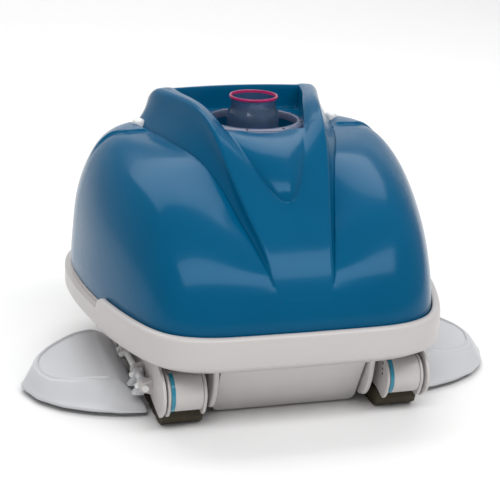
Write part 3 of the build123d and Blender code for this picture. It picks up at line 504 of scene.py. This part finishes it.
# Step across each shoulder: station, how far back it bends at the sides, rise and length.
STEP_Y, STEP_BEND, STEP_RISE, STEP_LENGTH = 44, 9, 2.2, 2.8
# Upper outer edge of the spine, in the crease's terms.
EDGE = [
    (-138.2, 19.9, 104.0), (-135, 20.7, 110.2), (-130, 22, 118.6), (-120.5, 24.3, 131.2),
    (-106.8, 27.7, 145.0), (-90.8, 31.9, 158.1), (-75.4, 35.8, 171.2), (-60.4, 39.2, 184.5),
    (-44.4, 42.5, 198), (-30.8, 44.7, 208), (-16.3, 46.9, 216), (2, 50.3, 221.3), (16.7, 53.5, 223.4),
    (40, 59.5, 223.6), (66, 67, 222.2), (77, 69, 220.6), (92, 69.5, 212), (112, 65, 189), (138, 53, 118),
]
FRONT_EDGE = np.array(EDGE)[:4]
PANEL_HALF_WIDTH = 20.5
PANEL_HOLLOW = 0.8
# Heights at which the dome's skin ends below the panel and below the spine's back.
MEETING_HEIGHT, BACK_HEIGHT, OVERLAP = 108.0, 122.0, 8.0
NOSE_TIP_Y = -82.0
# Height of the nose along its ridge and along its foot.
NOSE_RIDGE = [
    (-82, 164.7), (-80.5, 169), (-77, 175), (-70, 182.6), (-60, 190.5), (-50, 196.3), (-39, 200.6),
    (-28, 203.6), (-17, 205.2),
]
NOSE_FOOT = [
    (-82, 164.7), (-75, 170.4), (-66.4, 177.4), (-55.2, 186.4), (-38.7, 197.3), (-27, 202.8), (-17, 206.5),
]
NOSE_SPREAD = 3.93
RECESS_FRONT, RECESS_REAR, RECESS_FLOOR = -17.0, 66.5, 203.0
RECESS_SLOPE = 2.2
HOOD_CROWN, HOOD_START = 1.3, 3.0
# Edge between the recess and the rails, in the crease's terms.
INNER_EDGE = [
    (-17, 33, 206.5), (0, 37.5, 214), (20, 42.5, 219), (41, 49, 221), (66, 54, 221.6), (138, 40, 221.6),
]
# Radius of the spine's upper edge at the front and how much it grows towards the rear.
EDGE_ROUNDING, EDGE_GROWTH = 2.6, 2.4
RAIL_CROWN = 0.5
SIDE_SAG = 0.07
# The back of the spine: last station, how far it tucks in there and bows round at the sides.
SPINE_END, SPINE_TUCK, SPINE_BOW, SPINE_BACK_HALF = 138.0, 1.2, 3.8, 66
COLLAR_HOLE = 37.4
ACROSS = np.linspace(0, 1, 26)


def plan_points(unit, half_width, front, rear):
    """The unit outline stretched to a level's width, front and rear."""
    reach = np.where(unit[:, 1] < 0, WIDEST_Y - front, rear - WIDEST_Y)
    return np.stack([unit[:, 0] * half_width, WIDEST_Y + unit[:, 1] * reach], -1)


def crease_x(y):
    """Distance of the crease from the middle."""
    return column(CREASE, 1, np.clip(y, CREASE_START, CREASE_END))


def crease_height(y):
    """Height of the crease, held behind the point where it stops counting."""
    return column(CREASE, 2, np.minimum(y, CREASE_HEIGHT_END))


def crease_share(y):
    """How far the crease's own height replaces the dome's, from 0 to 1."""
    return smooth(*SHARE_IN, y) * (1 - smooth(*SHARE_OUT, y))


def panel_dip(x, half_width):
    """How far the front panel hollows between its edges."""
    return PANEL_HOLLOW * (1 - np.clip(np.abs(x) / half_width, 0, 1) ** 2)


def split_ring(half_width, front, rear):
    """Right half of one level, cut where it crosses the crease at the front and at the back."""
    half = plan_points(along(HALF_PLAN, PLAN_SAMPLES), half_width, front, rear)
    outside = np.nonzero(half[:, 0] > crease_x(half[:, 1]))[0]
    return half[:outside[0] + 1], half[outside[0]:outside[-1] + 1], half[outside[-1]:]


def cover_levels():
    """Heights, half widths, fronts and rears of many smooth levels of the dome."""
    levels = np.array(DOME, float)
    knots = np.concatenate([[0], np.cumsum(np.hypot(np.diff(levels[:, 0]), np.diff(levels[:, 1])))])
    stations = np.linspace(0, knots[-1], DOME_LEVELS)
    return [spline(knots, values, stations) for values in levels.T]


def crossings(rings, heights):
    """Stations and heights where the levels cross the crease, from front to back."""
    front = [(flank[0, 1], height) for (_, flank, _), height in zip(rings, heights)]
    back = [(flank[-1, 1], height) for (_, flank, _), height in zip(rings, heights)]
    return (np.array(values) for values in zip(*front, *reversed(back)))


def level_loop(ring, height):
    """Closed loop of one level: right half from the front to the back, then the left half."""
    counts = FRONT_POINTS, FLANK_POINTS, BACK_POINTS
    nose, flank, tail = (evenly(part, count) for part, count in zip(ring, counts))
    mirror = np.array([-1, 1])
    loop = np.vstack([nose, flank[1:], tail[1:], tail[-2::-1] * mirror, flank[-2::-1] * mirror,
                      nose[-2:0:-1] * mirror])
    return np.column_stack([loop, np.full(len(loop), height)])


def shape_shoulders(grid, at_y, at_z):
    """Sink the shoulders to the crease and raise what lies behind the step across each of them.

    The result says how far inside the crease each point lies, from 0 to 1.
    """
    x, y, height = grid[..., 0], grid[..., 1], grid[..., 2]
    beyond = np.abs(x) - crease_x(y)
    drop = (np.interp(y, at_y, at_z) - crease_height(np.maximum(y, CREASE_START))) * crease_share(y)
    height -= drop * (1 - np.clip(beyond / CREASE_REACH, 0, 1)) ** 2
    step = STEP_Y + STEP_BEND * smooth(96, 116, np.abs(x))
    rise = STEP_RISE * smooth(step, step + STEP_LENGTH, y)
    height += rise * smooth(160, 186, height) * smooth(0, 6, beyond)
    return np.clip(-beyond / 2.0, 0, 1)


def lead_under_spine(grid, inward, in_front, at_back):
    """Bring the dome's skin to the panel's back in front, and inside the spine behind."""
    x, y, height = grid[..., 0], grid[..., 1], grid[..., 2]
    panel_z = height + panel_dip(x, PANEL_HALF_WIDTH)
    panel_y = np.interp(panel_z, FRONT_EDGE[:, 2], FRONT_EDGE[:, 0]) + 0.04 * (height - MEETING_HEIGHT)
    y += (panel_y - y) * in_front * smooth(MEETING_HEIGHT - 7, MEETING_HEIGHT - 1, height) * inward
    y -= 3.0 * at_back * smooth(BACK_HEIGHT, BACK_HEIGHT + OVERLAP, height) * inward


def cover_dome():
    """Domed body of the cover: two shoulders that end at the crease, joined below the spine."""
    z, half_width, front, rear = cover_levels()
    rings = [split_ring(*row) for row in zip(half_width, front, rear)]
    at_y, at_z = crossings(rings, z)
    grid = np.array([level_loop(ring, height) for ring, height in zip(rings, z)])
    in_front, at_back = np.zeros((2, grid.shape[1]), bool)
    in_front[:FRONT_POINTS - 1] = in_front[-(FRONT_POINTS - 1):] = True
    back_start = FRONT_POINTS + FLANK_POINTS - 2
    at_back[back_start:back_start + 2 * (BACK_POINTS - 1)] = True
    inward = shape_shoulders(grid, at_y, at_z)
    lead_under_spine(grid, inward, in_front, at_back)
    level = z[:, None]
    hidden = (in_front & (level > MEETING_HEIGHT + OVERLAP)) | (at_back & (level > BACK_HEIGHT + OVERLAP))
    dome = grid_piece("cover_dome", grid, "blue_shell", "chassis", closed=True, keep=~hidden,
                      stands_for=("upper_cover",))
    thicken(dome, SHELL)
    return at_y, at_z


def nose_top(y, edge_z):
    """Half section of the front panel or the nose, out to the foot of the rail."""
    half_width = max(2.0, NOSE_SPREAD * math.sqrt(max(0.0, y - NOSE_TIP_Y)))
    foot_z, crown = edge_z - 0.8, 0.0
    if y >= NOSE_TIP_Y:
        foot_z = float(spline(*zip(*NOSE_FOOT), y))
        crown = float(spline(*zip(*NOSE_RIDGE), y)) - foot_z
    middle = [(half_width * t, foot_z + crown * (1 - t * t) ** 0.62) for t in ACROSS]
    return middle + [(half_width + 0.2 * k, foot_z + 0.04 * k) for k in range(1, 6)]


def recess_top(y, edge_z):
    """Half section of the recess or the hood behind it, out to the foot of the rail."""
    inner_x = float(column(INNER_EDGE, 1, y))
    inner_z = min(float(column(INNER_EDGE, 2, y)), edge_z - 0.3)
    rise = float(smooth(RECESS_REAR, RECESS_REAR + HOOD_START, y))
    floor = RECESS_FLOOR + 2.0 * (1 - float(smooth(RECESS_FRONT, RECESS_FRONT + 8, y)))
    floor += (inner_z - floor) * rise
    floor_x = inner_x - RECESS_SLOPE
    middle = [(floor_x * t, floor + HOOD_CROWN * rise * (1 - t * t)) for t in ACROSS]
    return middle + [(floor_x + RECESS_SLOPE * t, floor + (inner_z - floor) * float(smooth(0, 1, t)))
                     for t in np.linspace(0, 1, 6)[1:]]


def spine_side(before, edge, foot, rounding):
    """Rounded upper edge and slightly hollow side of the spine, down past the crease."""
    before, edge, foot = np.array(before), np.array(edge), np.array(foot)
    length = max(math.hypot(*(foot - edge)), 1.0)
    after = edge + (foot - edge) * min(rounding, 0.6 * length) / length
    points = [(1 - t) ** 2 * before + 2 * t * (1 - t) * edge + t * t * after
              for t in np.linspace(0, 1, 9)[1:]]
    sag = SIDE_SAG * math.hypot(*(foot - after))
    points += [after + (foot - after) * t - (sag * math.sin(math.pi * t), 0)
               for t in np.linspace(0, 1, 12)[1:]]
    points += [foot + (0.25 * k, -1.6 * k) for k in (1, 2, 3)]
    return [tuple(point) for point in points]


def spine_section(y, foot_x, wall_z):
    """Half section of the spine at one station: (x, z) from the middle outwards."""
    edge_x, edge_z = float(column(EDGE, 1, y)), float(column(EDGE, 2, y))
    top = nose_top(y, edge_z) if y < RECESS_FRONT else recess_top(y, edge_z)
    start_x, start_z = top[-1]
    across, up = edge_x - start_x, edge_z - start_z
    rounding = EDGE_ROUNDING + EDGE_GROWTH * float(smooth(-20, 30, y))
    rail = 1 - min(rounding, 0.8 * across) / max(across, 1.0)
    top += [(start_x + across * rail * t, start_z + up * rail * t + RAIL_CROWN * math.sin(math.pi * t))
            for t in np.linspace(0, 1, 13)[1:]]
    hollow = 1 - float(smooth(NOSE_TIP_Y - 30, NOSE_TIP_Y, y))
    top = [(x, z + hollow * (edge_z - panel_dip(x, edge_x) - z)) for x, z in top]
    return top + spine_side(top[-1], (edge_x, edge_z), (foot_x, wall_z - 0.2), rounding)


def cover_spine(at_y, at_z):
    """Raised spine with its two rails, the cone's recess and the pointed nose."""
    stations = np.concatenate([
        np.linspace(-137.7, -83, 50), np.linspace(-82.4, -74, 26), np.linspace(-73, -17.5, 54),
        np.linspace(-16.8, 65.5, 62), np.linspace(66, 71, 11), np.linspace(72.5, SPINE_END, 50),
    ])
    rows = []
    for y in stations:
        tuck = SPINE_TUCK * float(smooth(SPINE_END - 5, SPINE_END, y))
        bow = SPINE_BOW * float(smooth(85, 125, y))
        foot_y = y - tuck - bow * (float(crease_x(y)) / SPINE_BACK_HALF) ** 2
        dome_z = float(np.interp(foot_y, at_y, at_z))
        wall_z = dome_z + (float(crease_height(y)) - dome_z) * float(crease_share(y))
        half = spine_section(y, float(crease_x(foot_y)), wall_z)
        right = [(x, y - tuck - bow * (x / SPINE_BACK_HALF) ** 2, z) for x, z in half]
        rows.append([(-x, back_y, z) for x, back_y, z in reversed(right[1:])] + right)
    grid = np.array(rows)
    centre = (grid[:-1, :-1] + grid[1:, :-1] + grid[1:, 1:] + grid[:-1, 1:]) / 4
    keep = np.hypot(centre[..., 0] - CONE_CENTRE[0], centre[..., 1] - CONE_CENTRE[1]) > COLLAR_HOLE
    spine = grid_piece("cover_spine", grid, "blue_shell", "chassis", keep=keep,
                       stands_for=("upper_cover",))
    thicken(spine, SHELL)


# ---- Cone, collar and catches --------------------------------------------------------------
COLLAR_DOTS, DOT_CIRCLE = 8, 39.2
CATCH = (84.5, 68.0, 191.3)


def guard_ring():
    """Dark collar round the opening with small fixings on its top, and the sleeve below it."""
    profile = [(35.4, 200.5), (41.5, 200.5), (42.6, 203.2), (42.6, 204.2), (41.9, 205.2), (38.2, 206.5),
               (36.4, 206.6), (35.6, 205.8)]
    pieces = [lathe("cone_collar", profile, CONE_CENTRE, "guard_plastic", "chassis", slot="pale_plastic",
                    stands_for=("cone_guard_ring",), smooth_angle=50)]
    dot = [(0.001, 205.6), (1.15, 205.6), (1.0, 206.5), (0.001, 206.6)]
    for index, spot in enumerate(arc(CONE_CENTRE, DOT_CIRCLE, 22.5, 337.5, COLLAR_DOTS)):
        pieces.append(lathe(f"dot_{index}", dot, spot, "dark_plastic", "chassis", 16, slot="pale_plastic"))
    join(pieces, "cone_collar")
    well = [(35.6, 204), (36.8, 204), (36.8, 172), (35.6, 172)]
    lathe("cover_well", well, CONE_CENTRE, "blue_shell", "chassis", smooth_angle=40)


def hose_cone():
    """Clear stepped cone that the hose pushes onto, with its coloured rim."""
    neck = [
        (17.5, 164.8), (20.4, 164.8), (21.6, 176), (22.6, 185.6), (32.4, 186.4), (33, 187.4), (32.4, 188.6),
        (24.5, 189.4), (21.9, 192), (21.4, 198), (21.3, 206), (21.2, 210.5), (20.4, 213), (18.9, 215),
        (18.4, 217.5), (18.5, 221), (19.0, 223.6), (17.6, 223.6), (17.3, 216), (17.5, 204), (18.0, 192),
    ]
    lathe("swivel_cone", neck, CONE_CENTRE, "smoky_clear", "cone", stands_for=("hose_cone",),
          smooth_angle=35)
    rim = [(17.9, 223.7), (19.4, 223.7), (19.9, 224.3), (19.9, 225.0), (19.4, 225.8), (18.5, 225.9),
           (17.9, 225.3)]
    lathe("cone_rim", rim, CONE_CENTRE, "magenta_clear", "cone", stands_for=("cone_rim_ring",),
          smooth_angle=50)


def catches():
    """White catch at the back of each shoulder."""
    x, y, z = CATCH
    profile = [(0.001, z - 4), (4.9, z - 4), (5.2, z + 3.2), (4.4, z + 5.0), (2.6, z + 5.8),
               (0.001, z + 6.0)]
    pieces = [lathe(f"catch_{side}", profile, (side * x, y), "white_plastic", "chassis", 40,
                    stands_for=("cover_catches",), smooth_angle=50) for side in (-1, 1)]
    join(pieces, "cover_catch_pair")


# ---- Bumper --------------------------------------------------------------------------------
# Section: how far outside the cover's outline, height.
BUMPER_SECTION = [
    (0.5, 58.0), (1.4, 57.3), (3.6, 57.1), (5.2, 57.5), (6.2, 58.6), (6.7, 60.5), (6.95, 66), (7.0, 72),
    (6.95, 77), (6.7, 79.6), (6.1, 81.4), (4.9, 82.6), (3.2, 82.95), (1.6, 82.9), (0.7, 82.4), (0.45, 80),
]
# The cover's outline at the bumper: half width, front and rear.
COVER_HALF, COVER_FRONT, COVER_REAR = 143, -143, 145
BUMPER_LOW, BUMPER_HIGH = 58.0, 83.0
BUMPER_END_Y = -42.0
BUMPER_STATIONS = 150
END_ROUNDING, END_STEP = 4.0, 1.2


def front_bumper():
    """Bar that follows the cover's outline round the front half."""
    half = along(HALF_PLAN, PLAN_SAMPLES)
    paths = []
    for offset, _ in BUMPER_SECTION:
        line = plan_points(half, COVER_HALF + offset, COVER_FRONT - offset, COVER_REAR + offset)
        right = evenly(line[line[:, 1] < BUMPER_END_Y], BUMPER_STATIONS)
        paths.append(np.vstack([right[::-1] * np.array([-1, 1]), right[1:]]))
    rows, columns = len(paths[0]), len(BUMPER_SECTION)
    from_end = np.minimum(np.arange(rows), np.arange(rows)[::-1]) * END_STEP
    short = 1 - np.clip(from_end / END_ROUNDING, 0, 1)
    round_off = END_ROUNDING * (1 - np.sqrt(1 - short**2))
    grid = np.zeros((rows, columns, 3))
    for j, (_, z) in enumerate(BUMPER_SECTION):
        grid[:, j, :2] = paths[j]
        grid[:, j, 2] = z - round_off * (z - BUMPER_LOW) / (BUMPER_HIGH - BUMPER_LOW)
    faces = grid_faces(rows, columns, closed=True)
    faces += [tuple(range(columns)), tuple(rows * columns - 1 - k for k in range(columns))]
    bar = add_piece("bumper_band", grid.reshape(-1, 3), faces, "pale_plastic", "chassis",
                    stands_for=("front_bumper",), smooth_angle=45)
    tidy_normals(bar)


# ---- Skirts --------------------------------------------------------------------------------
SIDES = {"left": -1, "right": 1}
NOSE, REAR_NOSE = (-116.0, 31.0), (100.0, 31.0)
SKIRT_INNER, SKIRT_OUTER, SKIRT_NOSE_RADIUS = 103.5, 106.1, 17.6
WING_AXIS = (112.0, 27.0)
LUG_STATIONS = [-93.0, -61.0, -19.0, 9.0]
LUG_RADIUS, LUG_HALF = 4.5, 3.3
# Root of a lug inside the skirt: distance from the middle, half height.
LUG_ROOT = (105.6, 6.5)


def skirt(side, sign):
    """Side plate beside the pod, with the lugs of the wing's hinge."""
    outline = [(112, 54), (112, 34), (98, 20), (-66, 20), (-100, 13.5), (-113, 11.8), (-119, 11.6),
               (-122.5, 13.6)]
    outline += arc(NOSE, SKIRT_NOSE_RADIUS, 232, 90, 24) + [(-108, 54)]
    span = sorted((sign * SKIRT_INNER, sign * SKIRT_OUTER))
    pieces = [extrude(f"{side}_side_skirt", outline, "x", span, "pale_plastic", "chassis", 0.7,
                      stands_for=(f"{side}_skirt",))]
    axis_x, axis_z = sign * WING_AXIS[0], WING_AXIS[1]
    lug = arc((axis_x, axis_z), LUG_RADIUS, -90 if sign > 0 else 270, 90, 14)
    root_x, root_half = LUG_ROOT
    lug += [(sign * root_x, axis_z + root_half), (sign * root_x, axis_z - root_half)]
    for index, y in enumerate(LUG_STATIONS):
        pieces.append(extrude(f"lug_{index}", lug, "y", (y - LUG_HALF, y + LUG_HALF), "pale_plastic",
                              "chassis", 0.5, 2))
    join(pieces, f"{side}_side_skirt")


# ---- Wings ---------------------------------------------------------------------------------
# The wing's outline on the floor and the outline of its top, for the right side.
WING_EDGE = [
    (108.4, -93), (128, -90.5), (150, -83), (172, -70), (188, -52), (198, -25), (185, 2), (158, 20),
    (134, 28), (114, 24), (112.5, -2), (112.5, -70), (108.4, -76),
]
WING_TOP = [
    (111, -82), (125, -60), (142, -57.5), (160, -56), (176, -49), (183.5, -38), (187, -22), (183, -9),
    (173, 2.5), (160, 12), (147, 21.5), (134, 26), (118, 20.5), (115, -4), (115, -60), (111, -72),
]
WING_POINTS, CORNER_PASSES = 300, 14
WING_REACH, WING_FOOT, WING_PEAK, WING_WALL = 197.9, 4.6, 29.3, 2.0
WING_MIDDLE = np.array([148.0, -18.0])
# Flank of the wing: share of the way from the outline to the top's outline, share of the height.
WING_FLANK = [
    (0, 0), (0, 0.10), (0.008, 0.135), (0.03, 0.16), (0.09, 0.19), (0.3, 0.42), (0.6, 0.71),
    (0.82, 0.89), (0.92, 0.96), (0.97, 0.99), (1.0, 1.0),
]
# Rib round the top and the sunk face inside it: size of the loop, height over the top.
WING_RIB = [
    (0.985, 0.0), (0.97, 0.0), (0.955, 0.1), (0.945, 0.9), (0.935, 1.25), (0.925, 1.25), (0.915, 0.9),
    (0.905, 0.0), (0.89, -0.5), (0.875, -0.6),
]
WING_FACE = [(shrink, -0.6) for shrink in np.linspace(0.85, 0.04, 28)]
WING_FALL_FORWARD, WING_FALL_OUTWARD, HINGE_FALL = 0.128, 0.0016, 8.5
KNUCKLE_RADIUS = 4.2
# Where a knuckle starts and ends beside its lug.
KNUCKLE_SPAN = (3.9, 10.5)
PEG_STATIONS = [-88.0, -66.5, -24.5, -14.0]
PEG_RADIUS = 2.3


def soft_loop(points):
    """Closed polyline with evenly spaced points and rounded corners."""
    points = np.asarray(points, float)
    loop = evenly(np.vstack([points, points[:1]]), WING_POINTS + 1)[:-1]
    for _ in range(CORNER_PASSES):
        loop = (np.roll(loop, 1, 0) + 2 * loop + np.roll(loop, -1, 0)) / 4
    return loop


def wing_height(x, y):
    """Height of the wing's top: a plane that falls to the front and tip, and a facet to the hinge."""
    facet = (128.3 + 0.05 * y - x) / 20
    facet = 0.5 * (facet + np.sqrt(facet**2 + 0.001))
    front = np.clip((-y - 52) / 30, 0, 1)
    forward, outward = np.clip(12 - y, 0, None), np.clip(x - 135, 0, None)
    plane = WING_PEAK - WING_FALL_FORWARD * forward - WING_FALL_OUTWARD * outward**2
    return plane - HINGE_FALL * facet - 3.0 * np.clip(facet, 0, 1.2) * front


def wing_shell(side, sign):
    """The wing's hollow shell, ring by ring from the outline to the middle of its top."""
    edge, top = soft_loop(WING_EDGE), soft_loop(WING_TOP)
    edge[:, 0] = np.minimum(edge[:, 0], WING_REACH)
    top_z = wing_height(top[:, 0], top[:, 1])
    rings = []
    for across, up in WING_FLANK:
        rings.append(np.column_stack([edge + (top - edge) * across, WING_FOOT + (top_z - WING_FOOT) * up]))
    for shrink, lift in WING_RIB + WING_FACE:
        flat = WING_MIDDLE + (top - WING_MIDDLE) * shrink
        ribbed = smooth(129, 134, flat[:, 0])
        rings.append(np.column_stack([flat, wing_height(flat[:, 0], flat[:, 1]) + lift * ribbed]))
    grid = np.array(rings) * (sign, 1, 1)
    faces = grid_faces(len(rings), WING_POINTS, closed=True)
    faces.append(tuple((len(rings) - 1) * WING_POINTS + k for k in range(WING_POINTS)))
    if sign < 0:
        faces = [f[::-1] for f in faces]
    shell = add_piece(f"{side}_wing_shell", grid.reshape(-1, 3), faces, "wing_plastic", f"{side}_wing",
                      stands_for=(f"{side}_wing",))
    thicken(shell, WING_WALL)
    return shell


def wing(side, sign):
    """Wing with a knuckle beside each of the skirt's lugs."""
    pieces = [wing_shell(side, sign)]
    axis = (sign * WING_AXIS[0], WING_AXIS[1])
    outline = arc(axis, KNUCKLE_RADIUS, *((200, -30) if sign > 0 else (-20, 210)), 26)
    outline += [(sign * 120.5, 18.5), (sign * 111.5, 17.5)]
    for index, y in enumerate(LUG_STATIONS):
        outward = 1 if index in (0, 2) else -1
        span = sorted(y + outward * away for away in KNUCKLE_SPAN)
        pieces.append(extrude(f"knuckle_{index}", outline, "y", span, "wing_plastic", f"{side}_wing",
                              0.6, 2))
    join(pieces, f"{side}_wing_shell")


def hinge_pegs(side, sign):
    """White retaining pegs across the wing's hinge."""
    pieces = [rod(f"peg_{index}", (sign * 107.6, y, 29.5), (sign * 118.5, y - 1.5, 25.5), PEG_RADIUS,
                  "white_plastic", "chassis") for index, y in enumerate(PEG_STATIONS)]
    join(pieces, f"{side}_hinge_pegs")


# ---- Pods ----------------------------------------------------------------------------------
POD_INNER, POD_OUTER = 74.2, 99.2
CHEEK = 2.5
CASING_RADIUS, CHEEK_RADIUS = 15.0, 15.05
SOCKETS_Y, SOCKETS_Z, SOCKET_RADIUS = -119, (41.5, 37.0, 32.8), 1.5
SOLE_INNER, SOLE_OUTER = 70.6, 103.2
TREADS, TREAD_START, TREAD_PITCH = 14, -94, 12.6
SOLE_Z, GROOVE_Z = 0.05, 2.0
POD_FLOOR = 16.2


def pod_outline():
    """Side outline of a pod's casing."""
    rear = arc(REAR_NOSE, CASING_RADIUS, -80, 90, 22)
    front = arc(NOSE, CASING_RADIUS, 90, 258, 24)
    return [(-110, POD_FLOOR), (96, POD_FLOOR)] + rear + front


def cheek_outline():
    """Side outline of a pod's cheek, which reaches down beside the sole at both ends."""
    front = arc(NOSE, CHEEK_RADIUS, 92, 200, 20)
    rear = arc(REAR_NOSE, CHEEK_RADIUS, -20, 88, 20)
    return front + [(-127.5, 19), (-124, 14.6), (-121, 12.9), (-117.5, 13.4), (-108, POD_FLOOR),
                    (92, POD_FLOOR), (101.5, 13.4), (105, 12.9), (108, 14.6), (111.5, 19)] + rear


def sole_outline():
    """Side outline of a sole, with grooves across its tread."""
    sole = [(-108, 16.1), (-113, 13), (-114.5, 9), (-112.5, 4), (-107.5, 0.8), (-103, SOLE_Z)]
    for index in range(TREADS):
        y = TREAD_START + index * TREAD_PITCH
        sole += [(y, SOLE_Z), (y + 0.8, GROOVE_Z), (y + 2.6, GROOVE_Z), (y + 3.4, SOLE_Z)]
    return sole + [(87, SOLE_Z), (91.5, 0.8), (96.5, 4), (98.5, 9), (97, 13), (92, 16.1)]


def pod(side, sign):
    """Walking pod: casing, two cheeks, dark sockets in the left cheek and the rubber sole."""
    body = f"{side}_pod"
    left, right = sorted((sign * POD_INNER, sign * POD_OUTER))
    extrude(f"{side}_pod_casing", pod_outline(), "x", (left + 0.1, right - 0.1), "pale_plastic", body, 1.1,
            stands_for=(f"{side}_pod_shell",))
    plates = [extrude(f"cheek_{index}", cheek_outline(), "x", (start, start + CHEEK), "pale_plastic", body,
                      0.9) for index, start in enumerate((left - CHEEK, right))]
    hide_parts(f"{side}_pod_cheeks")
    join(plates, f"{side}_pod_side_plates")
    face = left - CHEEK
    dots = [rod(f"dot_{index}", (face - 0.25, SOCKETS_Y, z), (face + 0.6, SOCKETS_Y, z), SOCKET_RADIUS,
                "dark_plastic", body, 16) for index, z in enumerate(SOCKETS_Z)]
    join(dots, f"{side}_pod_sockets")
    span = sorted((sign * SOLE_INNER, sign * SOLE_OUTER))
    extrude(f"{side}_rubber_sole", sole_outline(), "x", span, "shoe_rubber", body, 2.2,
            stands_for=(f"{side}_shoe",))


# ---- Flaps ---------------------------------------------------------------------------------
FLAP_TOP, FLAP_FOOT = (118.0, 47.0), (92.0, 1.9)
FLAP_HALF, FLAP_HALF_THICKNESS, FLAP_CORNER = 58.3, 1.3, 6.0
BARREL_SPANS = [(-FLAP_HALF, -20), (-19.4, 19.4), (20, FLAP_HALF)]
BARREL_RADIUS = 3.6
FLAP_BULGE = 0.7
BRACKET_INNER, BRACKET_OUTER = 60.3, 64.8


def flap_outline(length):
    """Outline of a flap in its own plane: square at the hinge, rounded at the foot."""
    half = [(-FLAP_HALF, 0.0), (-FLAP_HALF, length - FLAP_CORNER)]
    half += [(-FLAP_HALF + FLAP_CORNER * (1 - math.cos(a)), length - FLAP_CORNER * (1 - math.sin(a)))
             for a in np.linspace(0, math.pi / 2, 10)]
    return half + [(-x, down) for x, down in reversed(half)]


def flap(name, sign):
    """Hinged plate with rounded lower corners, a slight bulge and the barrel on its pin."""
    top, foot = np.array(FLAP_TOP), np.array(FLAP_FOOT)
    length = float(np.linalg.norm(foot - top))
    down = (foot - top) / length
    out = np.array([-down[1], down[0]])
    outline = flap_outline(length)
    vertices = []
    for depth in (-FLAP_HALF_THICKNESS, FLAP_HALF_THICKNESS):
        for x, far in outline:
            bulge = FLAP_BULGE * (1 - (x / FLAP_HALF) ** 2) * math.sin(math.pi * far / length)
            spot = top + down * far + out * (depth + bulge)
            vertices.append((x, sign * spot[0], spot[1]))
    plate = add_piece(f"{name}_plate", vertices, prism_faces(len(outline)), "flap_plastic", name,
                      stands_for=(name,))
    tidy_normals(plate)
    bevel(plate, 0.9)
    barrel = arc((sign * FLAP_TOP[0], FLAP_TOP[1]), BARREL_RADIUS, 0, 345, 24)
    pieces = [plate] + [extrude(f"barrel_{index}", barrel, "x", span, "flap_plastic", name, 0.4, 2)
                        for index, span in enumerate(BARREL_SPANS)]
    join(pieces, f"{name}_plate")


def bracket_outline(end):
    """Side outline of a bracket, with its curved edge towards the flap."""
    outline = [(end * 90, 54), (end * 84, 30), (end * 87, 14), (end * 92, 7.5), (end * 97, 7.5)]
    return outline + [(end * (99 + 23 * math.sin(a)), 8.5 + 46 * (1 - math.cos(a)))
                      for a in np.linspace(0.3, math.pi / 2, 12)]


def flap_brackets():
    """Curved cheeks under the body that the flaps hang between."""
    pieces = []
    for end in (-1, 1):
        for sign in (-1, 1):
            span = sorted((sign * BRACKET_INNER, sign * BRACKET_OUTER))
            pieces.append(extrude(f"bracket_{end}_{sign}", bracket_outline(end), "x", span, "flap_plastic",
                                  "chassis", 1.7, 4))
    join(pieces, "flap_side_brackets")


# ---- Build ---------------------------------------------------------------------------------
set_camera()
studio_floor()
set_light()
SLOTS = {row["node"]: row["material_slot"] for row in frame["record"]["subparts"]}
for node, piece in frame["nodes"].items():
    piece.data.materials.clear()
    piece.data.materials.append(MATERIALS[SLOTS[node]])
cover_spine(*cover_dome())
guard_ring()
hose_cone()
catches()
front_bumper()
for side, sign in SIDES.items():
    skirt(side, sign)
    wing(side, sign)
    hinge_pegs(side, sign)
    pod(side, sign)
flap("front_flap", -1)
flap("rear_flap", 1)
flap_brackets()
